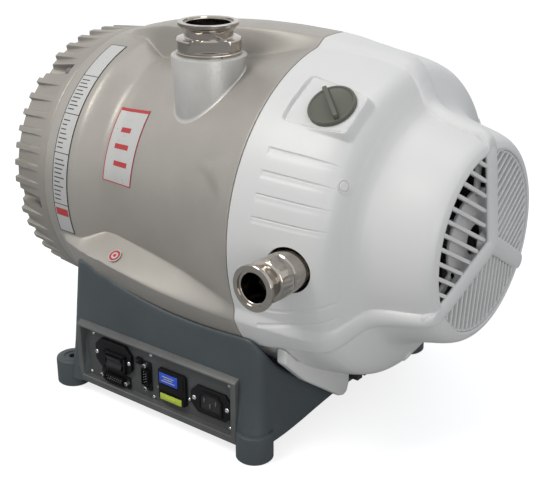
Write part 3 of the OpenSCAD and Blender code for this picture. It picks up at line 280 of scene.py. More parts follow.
NODE_FINISH = {
    "base": ("base_casting",),
    "steel": ("base_bolts", "panel_screws", "module_screws", "orbit_bearing", "bellows", "crankshaft",
              "front_bearing", "bearing_retainer", "rear_bearing", "inlet_screen", "exhaust_pipe"),
    "panel": ("connector_panel",),
    "black": ("switch_housing", "logic_connector", "serial_connector", "status_lamp",
              "voltage_selector", "mains_inlet", "cooling_fan"),
    "key": ("power_rocker",),
    "blue": ("selector_window",),
    "yellow": ("fuse_drawer",),
    # the scroll bolts are grey screws, darkened with this finish as painted shade of their notches
    "iron": ("mains_pins", "fixed_scroll_bolts", "motor_stator", "motor_rotor"),
    "board": ("drive_board",),
    "housing": ("pump_housing",),
    "scroll": ("fixed_scroll",),
    "seal": ("fixed_tip_seal", "orbit_tip_seal"),
    "rubber": ("scroll_seal_ring", "tail_bumper"),
    "alloy": ("orbiting_scroll", "motor_casing", "motor_end_bell"),
    "brass": ("front_counterweight", "rear_counterweight", "stator_windings", "ballast_valve"),
    "cowl": ("fan_cowl", "end_grille", "cowl_screws", "air_duct"),
    "knob": ("ballast_knob",),
    "polished": ("inlet_adaptor", "exhaust_adaptor"),
    "foil": ("data_strip", "front_label"),
    "red": ("round_badge",),
}


def show(obj):
    bpy.context.scene.collection.objects.link(obj)


def dress(obj, material):
    obj.data.materials.clear()
    obj.data.materials.append(MATERIALS[material])


for finish_name, node_names in NODE_FINISH.items():
    for node_name in node_names:
        dress(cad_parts[node_name], finish_name)


# ---------------------------------------------------------------- piece maker
def piece(name, bm, material, stands_for=(), body="root", bevel=0.0, segments=2, sharp=35):
    """Turns a bmesh into a finished piece that rides on a body."""
    if bevel:
        bm.normal_update()
        edges = [e for e in bm.edges if len(e.link_faces) == 2
                 and e.calc_face_angle(0) > math.radians(28)]
        bmesh.ops.bevel(bm, geom=edges, offset=bevel, segments=segments, affect="EDGES",
                        profile=0.5, clamp_overlap=True)
    bmesh.ops.recalc_face_normals(bm, faces=bm.faces)
    mesh = bpy.data.meshes.new(name)
    bm.to_mesh(mesh)
    bm.free()
    mesh.shade_smooth()
    mesh.set_sharp_from_angle(angle=math.radians(sharp))
    obj = bpy.data.objects.new(name, mesh)
    show(obj)
    dress(obj, material)
    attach(obj, body)
    if stands_for:
        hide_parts(*stands_for)
    return obj


def carve(obj, cutter, sharp=38):
    """Takes a bmesh body away from a finished piece."""
    mesh = bpy.data.meshes.new("cutter")
    cutter.to_mesh(mesh)
    cutter.free()
    tool = bpy.data.objects.new("cutter", mesh)
    show(tool)
    cut = obj.modifiers.new("cut", "BOOLEAN")
    cut.operation, cut.object, cut.solver = "DIFFERENCE", tool, "EXACT"
    made = bpy.data.meshes.new_from_object(obj.evaluated_get(bpy.context.evaluated_depsgraph_get()))
    obj.modifiers.clear()
    obj.data = made
    bpy.data.objects.remove(tool)
    made.shade_smooth()
    made.set_sharp_from_angle(angle=math.radians(sharp))


def skin(bm, rings, closed=True, cap_start=False, cap_end=False):
    """Quads between rings of points; each ring has the same number of points."""
    rows = [[bm.verts.new(p) for p in ring] for ring in rings]
    n = len(rows[0])
    for a, b in zip(rows, rows[1:]):
        for j in range(n if closed else n - 1):
            k = (j + 1) % n
            bm.faces.new((a[j], a[k], b[k], b[j]))
    if cap_start:
        bm.faces.new(rows[0][::-1])
    if cap_end:
        bm.faces.new(rows[-1])
    return rows


def lathe(bm, profile, frame_m, count=96, closed=False):
    """Turns (radius, height) points about the frame's z axis."""
    rings = []
    for r, z in profile:
        rings.append([frame_m @ Vector((max(r, 1e-6) * math.cos(u), max(r, 1e-6) * math.sin(u), z))
                      for u in turns(count)])
    if closed:
        rings.append(rings[0])
    skin(bm, rings)


# ---------------------------------------------------------------- camera, light and stage
# camera fitted to the photograph: place, degrees down and round, lens in mm
EYE, LOOK_DOWN, LOOK_ROUND, LENS = (0.6574, -0.8056, 0.5583), 21.92, 37.44, 70.96


def camera():
    data = bpy.data.cameras.new("camera")
    data.lens, data.sensor_width = LENS, 36
    obj = bpy.data.objects.new("camera", data)
    obj.location = EYE
    obj.rotation_euler = (math.radians(90 - LOOK_DOWN), 0, math.radians(LOOK_ROUND))
    show(obj)
    bpy.context.scene.camera = obj


def softbox(name, place, target, size, power, tint=(1, 1, 1)):
    data = bpy.data.lights.new(name, "AREA")
    data.shape, data.size, data.energy, data.color = "SQUARE", size, power, tint
    obj = bpy.data.objects.new(name, data)
    obj.location = place
    obj.rotation_euler = (Vector(target) - Vector(place)).to_track_quat("-Z", "Y").to_euler()
    show(obj)


def studio():
    scene = bpy.context.scene
    scene.view_settings.view_transform = "Standard"
    world = bpy.data.worlds.new("studio")
    scene.world = world
    world.use_nodes = True
    nodes, links = world.node_tree.nodes, world.node_tree.links
    room, backdrop = nodes["Background"], nodes.new("ShaderNodeBackground")
    room.inputs["Color"].default_value = (0.84, 0.92, 1.0, 1)
    room.inputs["Strength"].default_value = 0.38
    backdrop.inputs["Color"].default_value = (1, 1, 1, 1)
    backdrop.inputs["Strength"].default_value = 1.0
    ray, mix = nodes.new("ShaderNodeLightPath"), nodes.new("ShaderNodeMixShader")
    seen = ray.outputs["Is Camera Ray"]
    for kind in ("Is Glossy Ray", "Is Transmission Ray"):
        either = nodes.new("ShaderNodeMath")
        either.operation = "MAXIMUM"
        links.new(seen, either.inputs[0])
        links.new(ray.outputs[kind], either.inputs[1])
        seen = either.outputs[0]
    links.new(seen, mix.inputs[0])
    links.new(room.outputs[0], mix.inputs[1])
    links.new(backdrop.outputs[0], mix.inputs[2])
    links.new(mix.outputs[0], nodes["World Output"].inputs["Surface"])
    centre = (0.04, 0, 0.2)
    softbox("key", (-0.5, -1.3, 2.1), centre, 0.9, 24, (1.0, 0.97, 0.93))
    softbox("side", (1.9, -1.1, 0.7), centre, 1.1, 9, (1.0, 0.985, 0.96))
    softbox("top", (0.5, 0.5, 2.2), centre, 1.2, 7)

    bm = bmesh.new()
    bmesh.ops.create_grid(bm, x_segments=1, y_segments=1, size=6)
    mesh = bpy.data.meshes.new("floor")
    bm.to_mesh(mesh)
    bm.free()
    floor = bpy.data.objects.new("floor", mesh)
    show(floor)
    mat, nodes, links, bsdf = node_material("floor_paper")
    coords = nodes.new("ShaderNodeTexCoord").outputs["Object"]
    soft = noise(nodes, links, coords, 3.0)
    links.new(ramp(nodes, links, soft, ((0, (0.44, 0.44, 0.44, 1)), (1, (0.47, 0.47, 0.47, 1)))),
              bsdf.inputs["Base Color"])
    bsdf.inputs["Roughness"].default_value = 0.9
    bsdf.inputs["Emission Color"].default_value = (1, 1, 1, 1)
    glow = nodes.new("ShaderNodeMath")
    glow.operation = "MULTIPLY"
    glow.inputs[1].default_value = 0.78
    links.new(nodes.new("ShaderNodeLightPath").outputs["Is Camera Ray"], glow.inputs[0])
    links.new(glow.outputs[0], bsdf.inputs["Emission Strength"])
    mesh.materials.append(mat)


camera()
studio()


# ---------------------------------------------------------------- housing
BOSS_X, BOSS_Y = (INLET[0].x + INLET[1].x) / 2, (INLET[0].y + INLET[1].y) / 2
BOSS_TOP = INLET[0].z
BOSS_R, BOSS_LOW_R, BOSS_FILLET = 34.5 * MM, 32 * MM, 2.5 * MM
# three-sided raised pad beside the seam: corners as mm along the shaft and angles, the part of
# the surface that holds it, its rise, and where that starts and how wide it is, in mm
BLISTER_CORNERS = ((55, 154.1), (99.8, 149.1), (91.7, 163.3))
BLISTER_X0, BLISTER_A0, BLISTER_A1 = 40 * MM, 144, 169
BLISTER_RISE, BLISTER_START, BLISTER_RAMP = 1.5 * MM, 4, 13
MM_PER_DEGREE, ROUNDING = 2.6, 0.5


def inset_in(corners, x, angle):
    """Distance in mm inside the border of a pad with rounded corners; negative outside."""
    total = 0.0
    for (x0, a0), (x1, a1) in zip(corners, corners[1:] + corners[:1]):
        ex, ea = x1 - x0, (a1 - a0) * MM_PER_DEGREE
        dx, da = x / MM - x0, (angle - a0) * MM_PER_DEGREE
        total += math.exp(-ROUNDING * max(-60.0, min(60.0, (ex * da - ea * dx) / math.hypot(ex, ea))))
    return -math.log(total) / ROUNDING


def housing_radius(x, angle):
    t = (x - JOINT_X) / (SEAM_X - JOINT_X)
    r = lobe_radius(HOUSING_ROWS, t, angle)
    if x > BLISTER_X0 and BLISTER_A0 < angle < BLISTER_A1:
        r += BLISTER_RISE * smooth((inset_in(BLISTER_CORNERS, x, angle) + BLISTER_START) / BLISTER_RAMP)
    return r


def surface_height(x, y, radius_at):
    """Height of a round surface above a point of the plan, on its upper side."""
    z = 0.1
    for _ in range(30):
        r = radius_at(x, math.degrees(math.atan2(z, y)))
        z = math.sqrt(max(r * r - y * y, 1e-8))
    return AXIS_Z + z


WALL_SHARES = (0, .06, .13, .21, .3, .4, .5, .6, .7, .79, .87, .94, 1)
RIDGE_SPAN = 16


def ring_angles(rows, t, step):
    """Angles of one ring: close ones that follow the ridges' walls, fixed ones on the panels."""
    shape = profile(rows, t)
    flat, foot = shape[2], shape[3]
    sides = [flat * v for v in (.25, .5, .75, .92)] + [flat + (foot - flat) * v for v in WALL_SHARES]
    offs = [math.degrees(math.atan2(v, ridge_height(shape, v))) for v in sides]
    offs += [offs[-1] + (RIDGE_SPAN - offs[-1]) * v for v in (.3, .7)]
    angles = set()
    for ridge in RIDGE_ANGLES:
        angles |= {ridge + d for o in offs for d in (-o, o)} | {ridge}
        count = int((120 - 2 * RIDGE_SPAN) / step)
        angles |= {ridge + RIDGE_SPAN + (120 - 2 * RIDGE_SPAN) * i / count for i in range(count + 1)}
    return sorted(angles)


def housing():
    bm = bmesh.new()
    edge, inner = 1.2 * MM, 118 * MM
    span = SEAM_X - JOINT_X

    def ring(x, drop, place=None, radius=None):
        angles = ring_angles(HOUSING_ROWS, (x - JOINT_X) / span, 1.25)
        return [at(x if place is None else place, a, radius or housing_radius(x, a) - drop) for a in angles]

    rings = [ring(JOINT_X, 0, JOINT_X + 40 * MM, inner), ring(JOINT_X, 0, None, inner),
             ring(JOINT_X, edge), ring(JOINT_X, edge * 0.3, JOINT_X + edge * 0.3)]
    rings += [ring(JOINT_X + edge + (span - 2 * edge) * i / 120, 0) for i in range(121)]
    rings += [ring(SEAM_X, edge * 0.3, SEAM_X - edge * 0.3), ring(SEAM_X, edge),
              ring(SEAM_X, 0, None, 0.947 * CASING_R), ring(SEAM_X, 0, SEAM_X - 60 * MM, 0.85 * CASING_R)]
    skin(bm, rings)
    piece("housing_shell", bm, "housing", ("pump_housing",))


def inlet_boss():
    """Upright boss with a small fillet where it meets the panel."""
    bm = bmesh.new()
    foot_r, bore = BOSS_LOW_R + BOSS_FILLET, 19 * MM

    def spot(r, t, z):
        return Vector((BOSS_X + r * math.cos(t), BOSS_Y + r * math.sin(t), z))

    def height(r, t):
        return surface_height(BOSS_X + r * math.cos(t), BOSS_Y + r * math.sin(t), housing_radius)

    rings = []
    for k in range(7):
        u = k / 6
        r = (1 - u) ** 2 * foot_r + (1 - (1 - u) ** 2) * BOSS_LOW_R
        ring = []
        for t in turns(128):
            low, corner = height(foot_r, t) - 0.3 * MM, height(BOSS_LOW_R, t)
            z = (1 - u) ** 2 * low + 2 * u * (1 - u) * corner + u * u * (corner + BOSS_FILLET)
            ring.append(spot(r, t, z))
        rings.append(ring)
    edge, part = 1.6 * MM, 0.5 * MM
    rims = ((edge, BOSS_R), (part, BOSS_R - part), (0, BOSS_R - edge), (0, bore), (30 * MM, bore))
    rings += [[spot(r, t, BOSS_TOP - depth) for t in turns(128)] for depth, r in rims]
    skin(bm, rings)
    piece("inlet_boss", bm, "boss")


# ---------------------------------------------------------------- cowl
# grooves of the near panel: their angles, and the part of the surface that holds them
GROOVES, GROOVE_X0, GROOVE_X1 = (144.2, 151.7, 159.0, 166.3), 128.5 * MM, 202 * MM
ZONE_X0, ZONE_X1, ZONE_A0, ZONE_A1 = 126 * MM, 206 * MM, 140, 168
# grooves below the near ridge: first and last angle, first and last place in mm
LOW_GROOVES = ((198, 193.6, 140, 209), (204.3, 200.3, 129, 206))
# flat pad of the ballast knob: corners as mm along the shaft and angles, and what surrounds it
PAD_CORNERS = ((128.5, 134.4), (130, 115), (191, 119.3), (190, 134.3))
PAD_X0, PAD_X1, PAD_A0, PAD_A1 = 120 * MM, 200 * MM, 108, 140
PAD_ANGLE, PAD_R, PAD_FACE_R, GRIP_TURN = 125.7, 148.7 * MM, 149.8 * MM, math.radians(45)
EXHAUST_X, EXHAUST_Z = (EXHAUST[0].x + EXHAUST[1].x) / 2, (EXHAUST[0].z + EXHAUST[1].z) / 2
CAP_PLACES = ((198 * MM, 149.8), (198 * MM, 29.8), (198 * MM, 269.8))


def cowl_radius(x, angle):
    r = lobe_radius(COWL_ROWS, (x - COWL_X) / COWL_LEN, angle)
    if ZONE_X0 < x < ZONE_X1 and ZONE_A0 < angle < ZONE_A1:
        for place in GROOVES:
            length = smooth((x - GROOVE_X0) / (2 * MM)) * smooth((GROOVE_X1 - x) / (30 * MM))
            dip = smooth((angle - place + 0.2) / 0.3) * smooth((place + 2.9 - angle) / 1.6)
            line = smooth((0.4 - abs(angle - place - 0.1)) / 0.25)
            r -= (0.7 * dip + 0.5 * line) * MM * length
    for a0, a1, x0, x1 in LOW_GROOVES:
        place = a0 + (a1 - a0) * smooth((x / MM - x0) / (x1 - x0))
        near = smooth((0.9 - abs(angle - place)) / 0.8)
        r -= 1.1 * MM * near * smooth((x / MM - x0) / 3) * smooth((x1 - x / MM) / 3)
    if PAD_A0 < angle < PAD_A1 and PAD_X0 < x < PAD_X1:
        inset = inset_in(PAD_CORNERS, x, angle)
        if inset > -5:
            flat = PAD_FACE_R / math.cos(math.radians(angle - PAD_ANGLE))
            weight = smooth(1 + inset / 4.5) if flat > r else smooth(0.5 + inset)
            r = r * (1 - weight) + flat * weight - 0.8 * MM * smooth((0.8 - abs(inset)) / 0.6)
    return r


def cowl_shell():
    bm = bmesh.new()
    # close angles at the grooves, the knob pad and the ridges, one degree apart elsewhere
    fine = {g + s * d for g in GROOVES for d in (0.0, 0.25, 0.4, 0.55, 0.75) for s in (-1, 1)}
    fine |= {g + d for g in GROOVES for d in (1.2, 1.6, 2.0, 2.4, 2.9)}
    fine |= {113 + 0.22 * i for i in range(106)}
    fine |= {ridge - 14 + 0.4 * i for ridge in RIDGE_ANGLES for i in range(71)}
    fine |= {190 + 0.3 * i for i in range(64)}
    angles = sorted(fine | {a for a in range(360) if min(abs(a - f) for f in fine) > 0.5})
    edge, wall, mouth = 1.2 * MM, 4 * MM, 81.2 * MM
    places, x = [], COWL_X + edge
    while x < END_X - 1.5 * MM:
        places.append(x)
        t = (x - COWL_X) / COWL_LEN
        x += (0.5 if x < 196 * MM else 0.7 if t < 0.66 or t > 0.93 else 1.5) * MM

    def ring(x, drop=0.0, place=None):
        return [at(x if place is None else place, a, cowl_radius(x, a) - drop) for a in angles]

    rings = [ring(COWL_X, wall, COWL_X + wall), ring(COWL_X, wall), ring(COWL_X, edge),
             ring(COWL_X, edge * 0.3, COWL_X + edge * 0.3)] + [ring(x) for x in places]
    # round lip at the mouth, then the inside
    for x, share in ((END_X - 0.5 * MM, 0.10), (END_X, 0.35), (END_X, 0.75), (END_X - 0.6 * MM, 1.0)):
        rings.append([at(x, a, cowl_radius(END_X, a) * (1 - share) + mouth * share) for a in angles])
    rings.append([at(END_X - 14 * MM, a, mouth) for a in angles])
    rings.append([at(END_X - 15 * MM, a, mouth + 6 * MM) for a in angles])
    for row in COWL_ROWS[-4:0:-1]:
        x = COWL_X + COWL_LEN * row[0]
        rings.append([at(x + 2 * MM, a, lobe_radius(COWL_ROWS, row[0], a) - wall) for a in angles])
    skin(bm, rings)
    shell = piece("cowl_shell", bm, "cowl", ("fan_cowl",))

    # round hole of the exhaust
    cutter = bmesh.new()
    hole_r, depth = 20.5 * MM, 90 * MM
    place = Matrix.Translation((EXHAUST_X, -150 * MM, EXHAUST_Z)) @ Matrix.Rotation(math.pi / 2, 4, "X")
    bmesh.ops.create_cone(cutter, cap_ends=True, segments=72, radius1=hole_r, radius2=hole_r, depth=depth,
                          matrix=place)
    carve(shell, cutter)


def cowl_bars():
    """Three round bars that leave the ridges and meet in a hub."""
    bm = bmesh.new()
    start, corner, top = (END_X - 12 * MM, 96 * MM), (END_X - 2.6 * MM, 91 * MM), (HUB_X - 4 * MM, 0.0)
    bar_half, bar_depth = 8.4 * MM, 3.9 * MM
    leave = [c + (t - c) * 0.22 for c, t in zip(corner, top)]
    path = [[(1 - u) ** 2 * p + 2 * u * (1 - u) * q + u * u * r for p, q, r in zip(start, corner, leave)]
            for u in (k / 8 for k in range(9))]
    path += [[c + (t - c) * k / 8 for c, t in zip(leave, top)] for k in range(1, 9)]
    for angle in RIDGE_ANGLES:
        rings = []
        for k, (x, r) in enumerate(path):
            (xa, ra), (xb, rb) = path[max(k - 1, 0)], path[min(k + 1, len(path) - 1)]
            run = math.hypot(xb - xa, rb - ra)
            nx, nr = (ra - rb) / run, (xb - xa) / run
            frame_m = radial_frame(x, angle, r)
            deep = [(bar_depth * math.cos(u), bar_half * math.sin(u)) for u in turns(28)]
            rings.append([frame_m @ Vector((nx * d, side, nr * d)) for d, side in deep])
        skin(bm, rings, cap_start=True, cap_end=True)
    rings = []
    for k in range(9):
        u = math.pi * k / 16
        rings.append([at(HUB_X - 14 * MM + 14 * MM * math.sin(u), a, 9.5 * MM * math.cos(u) + 1e-5)
                      for a in range(0, 360, 10)])
    skin(bm, rings, cap_start=True)
    piece("cowl_bars", bm, "cowl")


def cowl_caps():
    """Flat screw caps, each in a shallow ring."""
    bm = bmesh.new()
    for x, angle in CAP_PLACES:
        slope = math.atan2(cowl_radius(x - 1.5 * MM, angle) - cowl_radius(x + 1.5 * MM, angle), 3 * MM)
        place = radial_frame(x, angle, cowl_radius(x, angle)) @ Matrix.Rotation(slope, 4, "Y")
        lathe(bm, mm((0, 0.9), (3.4, 0.9), (3.9, 0.4), (4.0, -1)), place, 32)
        lathe(bm, mm((5.0, -1), (5.1, 0.5), (5.6, 0.7), (6.1, -1)), place, 32)
    piece("cowl_caps", bm, "cowl", ("cowl_screws",))


housing()
inlet_boss()
cowl_shell()
cowl_bars()
cowl_caps()


# ---------------------------------------------------------------- fixed scroll
FIN_PLACES = 48
SCROLL_R = 137.5 * MM
DRUM_R, RIB_R = 129.5 * MM, 134 * MM
PLATE_X, WRAP_X = TIP_X + 28 * MM, TIP_X + 40 * MM
BOLT_SEAT_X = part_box("fixed_scroll_bolts")[0].x + 8 * MM
BOLT_CIRCLE, NOTCH_R = 129 * MM, 5.8 * MM
SKIRT_R = DRUM_R - 5 * MM


def box_between(bm, low, high, frame_m=Matrix.Identity(4)):
    """Box from two corners in its own frame."""
    corners = []
    for x in (low[0], high[0]):
        for y in (low[1], high[1]):
            for z in (low[2], high[2]):
                corners.append(bm.verts.new(frame_m @ Vector((x, y, z))))
    for a, b, c, d in ((0, 1, 3, 2), (4, 6, 7, 5), (0, 4, 5, 1), (2, 3, 7, 6), (0, 2, 6, 4), (1, 5, 7, 3)):
        bm.faces.new((corners[a], corners[b], corners[c], corners[d]))


def carve_box(obj, low, high, frame_m=Matrix.Identity(4)):
    """Takes a box away from a finished piece."""
    cutter = bmesh.new()
    box_between(cutter, low, high, frame_m)
    bmesh.ops.recalc_face_normals(cutter, faces=cutter.faces)
    carve(obj, cutter)


def rectangle(x0, x1, z0, z1):
    return [(x0, z0), (x1, z0), (x1, z1), (x0, z1)]


def prism(bm, outline, thickness, frame_m):
    """Extrudes an outline of (x, z) points to both sides of its own frame's y axis."""
    sides = []
    for y in (-thickness / 2, thickness / 2):
        sides.append([bm.verts.new(frame_m @ Vector((px, y, pz))) for px, pz in outline])
    n = len(outline)
    for i in range(n):
        j = (i + 1) % n
        bm.faces.new((sides[0][i], sides[0][j], sides[1][j], sides[1][i]))
    bm.faces.new(sides[0][::-1])
    bm.faces.new(sides[1])


def shaft_frame(x=0.0):
    """Frame on the shaft axis whose z axis runs along +X."""
    return Matrix.Translation((x, 0, AXIS_Z)) @ Matrix.Rotation(math.pi / 2, 4, "Y")


def drum_radius(x, angle):
    """Radius of the end cap: a tapered drum with low round ribs and a notch at each bolt."""
    s = min(max((x - TIP_X) / (WRAP_X - TIP_X), 0.0), 1.0)
    r = DRUM_R + (SCROLL_R - DRUM_R) * s
    k = round(angle / 360 * FIN_PLACES)
    off = abs(math.radians(angle - k * 360 / FIN_PLACES)) * BOLT_CIRCLE
    if is_bolt(k):
        if x < BOLT_SEAT_X and off < NOTCH_R:
            r = min(r, BOLT_CIRCLE - math.sqrt(NOTCH_R ** 2 - off ** 2))
        return r
    rib = RIB_R + (SCROLL_R - RIB_R) * s - r
    return r + rib * smooth((3.6 * MM - off) / (1.0 * MM))


def is_bolt(k):
    """Whether a bolt takes the place of a rib: six of them."""
    return (k - 1) % (FIN_PLACES // 6) == 0


def scroll_drum():
    # distances in mm from the middle of a rib or notch at which the outline is sampled
    rib_steps = (1.3, 2.6, 2.85, 3.1, 3.35, 3.6, 4.0)
    notch_steps = (1.6, 3.1, 4.2, 5.1, 5.5, 5.78, 5.9)
    angles = set()
    for k in range(FIN_PLACES):
        near = notch_steps if is_bolt(k) else rib_steps
        offs = {0.0, 180 / FIN_PLACES} | {math.degrees(v * MM / BOLT_CIRCLE) for v in near}
        angles |= {round((k * 360 / FIN_PLACES + s * o) % 360, 4) for o in offs for s in (-1, 1)}
    angles = sorted(angles)
    places = [TIP_X + 1 * MM + (JOINT_X - TIP_X - 2.2 * MM) * i / 26 for i in range(27)]
    places = sorted(places + [BOLT_SEAT_X - 0.05 * MM, BOLT_SEAT_X + 0.05 * MM])
    edge, gap, inner = 1 * MM, 0.1 * MM, 118 * MM

    def ring(x, drop=0.0, radius=None):
        return [at(x, a, radius or drum_radius(x, a) - drop) for a in angles]

    def rim(radius):
        """Radius on the end face: rounded over on the ribs, whole in the notches."""
        return max(radius - edge, SKIRT_R + 1.2 * MM) if radius > DRUM_R - edge else radius

    bm = bmesh.new()
    rings = [ring(PLATE_X, 0, 1e-6), ring(PLATE_X, 0, SKIRT_R - 2 * MM), ring(PLATE_X - 2 * MM, 0, SKIRT_R),
             ring(TIP_X + edge, 0, SKIRT_R), ring(TIP_X, 0, SKIRT_R + edge),
             [at(TIP_X, a, rim(drum_radius(TIP_X, a))) for a in angles], ring(TIP_X + 0.3 * MM, 0.3 * MM)]
    rings += [ring(x) for x in places]
    rings += [ring(JOINT_X - 0.4 * MM, 0.4 * MM), ring(JOINT_X - gap, 1.2 * MM),
              ring(JOINT_X - gap, 0, inner), ring(WRAP_X, 0, inner), ring(WRAP_X, 0, 1e-6)]
    skin(bm, rings)
    piece("scroll_drum", bm, "scroll", ("fixed_scroll",), sharp=50)


def scroll_fins():
    bm = bmesh.new()
    front, back, outer = TIP_X + 1 * MM, PLATE_X + 1 * MM, SKIRT_R + 1 * MM
    for k in range(FIN_PLACES):
        if not is_bolt(k):
            inner = (46 if k % 2 == 0 else 88) * MM
            outline = [(front, inner), (front, outer), (back, outer), (back, inner + 4 * MM)]
            prism(bm, outline, 6 * MM, radial_frame(0, k * 360 / FIN_PLACES, 0))
    piece("scroll_fins", bm, "scroll", (), "root", 1.3 * MM, 3, 40)


def scroll_wrap():
    """The wrap inside: half rings about two centres, for a view of the opened pump."""
    bm = bmesh.new()
    place = shaft_frame()
    pitch, half, root = 21.5 * MM, 2.75 * MM, WRAP_X - 1 * MM
    wrap_end = JOINT_X + 33.2 * MM
    rings = []
    for i in range(7):
        side = 1 if i % 2 == 0 else -1
        centre, r = side * pitch / 4, 100 * MM - i * pitch / 2
        for j in range(1 if i else 0, 25):
            a = math.radians(180 * j / 24 + (0 if side > 0 else 180))
            rings.append([place @ Vector((centre + (r + dr) * math.cos(a), (r + dr) * math.sin(a), z))
                          for dr, z in ((-half, root), (half, root), (half, wrap_end), (-half, wrap_end))])
    skin(bm, rings, cap_start=True, cap_end=True)
    piece("scroll_wrap", bm, "scroll")


scroll_drum()
scroll_fins()
scroll_wrap()


# ---------------------------------------------------------------- inlet and exhaust adaptors
def clamp_profile(bore, rim, height, neck):
    """Clamp flange with its cone, seen from the root: (radius, height) points."""
    shape = ((neck, 8.5), (neck + 0.6 * MM, 7.4), (rim - 1.2 * MM, 3.4), (rim, 2.9), (rim, 0.4),
             (rim - 0.4 * MM, 0), (bore + 2.6 * MM, 0), (bore + 2.4 * MM, 1.4), (bore + 0.4 * MM, 1.4),
             (bore, 1.8))
    return [(r, height - depth * MM) for r, depth in shape]


def inlet():
    height = INLET[1].z - INLET[0].z
    place = Matrix.Translation((BOSS_X, BOSS_Y, INLET[0].z))
    bore, neck, body, flat, turn = 20.25 * MM, 22.2 * MM, 29.4 * MM, 22.5 * MM, math.radians(42)
    bm = bmesh.new()
    foot = [(bore, 0)] + mm((30, 0), (30, 2.4), (29.3, 3.0), (28.2, 3.2), (28.2, 4.0), (24, 4.2))
    lathe(bm, foot, place)
    cone = [(24 * MM, 14 * MM), (neck + 1.2 * MM, 15.2 * MM), (neck, 16.2 * MM)]
    lathe(bm, cone + clamp_profile(bore, 27.5 * MM, height, neck) + [(bore, 0)], place)
    piece("inlet_flange", bm, "polished", ("inlet_adaptor",), sharp=30)
    # body with two flats for a wrench
    bm = bmesh.new()
    rings = []
    for z, cut in ((3.6, 1.6), (4.4, 0.4), (5.2, 0), (13.2, 0), (14.4, 0.6), (15.2, 3.0), (15.4, 6.2)):
        ring = []
        for u in turns(144):
            r = min(body - cut * MM, flat / max(abs(math.sin(u)), 1e-6))
            ring.append(place @ Vector((r * math.cos(u + turn), r * math.sin(u + turn), z * MM)))
        rings.append(ring)
    skin(bm, rings)
    piece("inlet_body", bm, "polished", sharp=25)


def exhaust():
    height = EXHAUST[1].y - EXHAUST[0].y
    place = Matrix.Translation((EXHAUST_X, EXHAUST[1].y, EXHAUST_Z)) @ Matrix.Rotation(math.pi / 2, 4, "X")
    bore = 13 * MM
    bm = bmesh.new()
    stem = mm((13, 0), (18.2, 0), (18.2, 20), (17, 21), (17, 24), (18.2, 25))
    stem += [(r, height - depth) for r, depth in mm((18.2, 17), (17.6, 16.2), (16.4, 15.6), (15, 15.2))]
    lathe(bm, stem + clamp_profile(bore, 20 * MM, height, 15 * MM) + [(bore, 0)], place, 72)
    piece("exhaust_flange", bm, "polished", ("exhaust_adaptor",), sharp=30)
    # six flats, with chamfered corners
    flats, corners, step = 17.9, 19.6, math.pi / 3
    bm = bmesh.new()
    rings = []
    for back, cut in ((33, 2.4), (31.6, 0.4), (30, 0), (20, 0), (18.4, 0.4), (17, 2.4)):
        rings.append([])
        for u in turns(96):
            r = min(flats / math.cos((u + step / 2) % step - step / 2), corners - cut) * MM
            rings[-1].append(place @ Vector((r * math.cos(u), r * math.sin(u), height - back * MM)))
    skin(bm, rings)
    piece("exhaust_nut", bm, "polished", sharp=20)


# ---------------------------------------------------------------- gas ballast knob
def knob():
    x, r0 = (KNOB[0].x + KNOB[1].x) / 2, PAD_R + 0.3 * MM
    place = radial_frame(x, PAD_ANGLE, r0)
    bm = bmesh.new()
    disc = mm((0, 0.2), (20.4, 0.2), (21, 0.8), (21, 4.2), (20.4, 4.9), (18.9, 5), (18.3, 4.3),
              (17.6, 4.0), (0, 4.0))
    lathe(bm, disc, place)
    lathe(bm, mm((0, 0), (5, 0), (5, -12), (0, -12)), place, 24)
    piece("knob_disc", bm, "knob", ("ballast_knob",), "knob")
    bm = bmesh.new()
    outline = mm((-2.3, 3.6), (-2.0, 9.6), (2.0, 9.6), (2.3, 3.6))
    prism(bm, outline, 38 * MM, place @ Matrix.Rotation(GRIP_TURN, 4, "Z"))
    piece("knob_grip", bm, "knob", (), "knob", 0.9 * MM, 3)


inlet()
exhaust()
knob()

# ---------------------------------------------------------------- grille
MOUTH_R = 81.1 * MM
SLATS = {150: (11.5 * MM, 3.4 * MM), 270: (7.5 * MM, 2.6 * MM), 30: (7.5 * MM, 2.6 * MM)}
SLAT_DEPTH = 5 * MM
PLATE_FACE, PLATE_IN_R, PLATE_R = END_X - 11 * MM, 14 * MM, 46 * MM


def grille():
    bm = bmesh.new()
    place = shaft_frame()

    def dome(u, side):
        return HUB_X - 5.8 * MM - 5.4 * MM * math.hypot(u, side) / MOUTH_R

    for angle in PANEL_ANGLES:
        pitch, thick = SLATS[angle]
        for k in range(-9, 10):
            side = k * pitch
            if abs(side) > MOUTH_R - 2 * MM:
                continue
            start = (8.6 * MM + (abs(side) + thick / 2) / 2) / math.sin(math.radians(60)) - 2 * MM
            stop = math.sqrt((MOUTH_R - 0.6 * MM) ** 2 - side ** 2)
            if stop - start < 3 * MM:
                continue
            us = [start + (stop - start) * i / 8 for i in range(9)]
            outline = [(dome(u, side), u) for u in us] + [(dome(u, side) - SLAT_DEPTH, u) for u in us[::-1]]
            prism(bm, outline, thick, radial_frame(0, angle, 0) @ Matrix.Translation((0, -side, 0)))
    piece("grille_slats", bm, "cowl", ("end_grille",), "root", 0.7 * MM, 2, 40)
    bm = bmesh.new()
    back = PLATE_FACE - 3 * MM
    rim, half = 2 * MM, 4 * MM
    lathe(bm, rectangle(PLATE_IN_R, PLATE_R, back, PLATE_FACE), place, 96, True)
    lathe(bm, rectangle(MOUTH_R - rim, MOUTH_R, back, END_X - rim), place, 96, True)
    low, high = (back, -half, 40 * MM), (PLATE_FACE, half, MOUTH_R - 1 * MM)
    for angle in RIDGE_ANGLES:
        box_between(bm, low, high, radial_frame(0, angle, 0))
    piece("grille_rings", bm, "cowl", (), "root", 0.6 * MM)


grille()


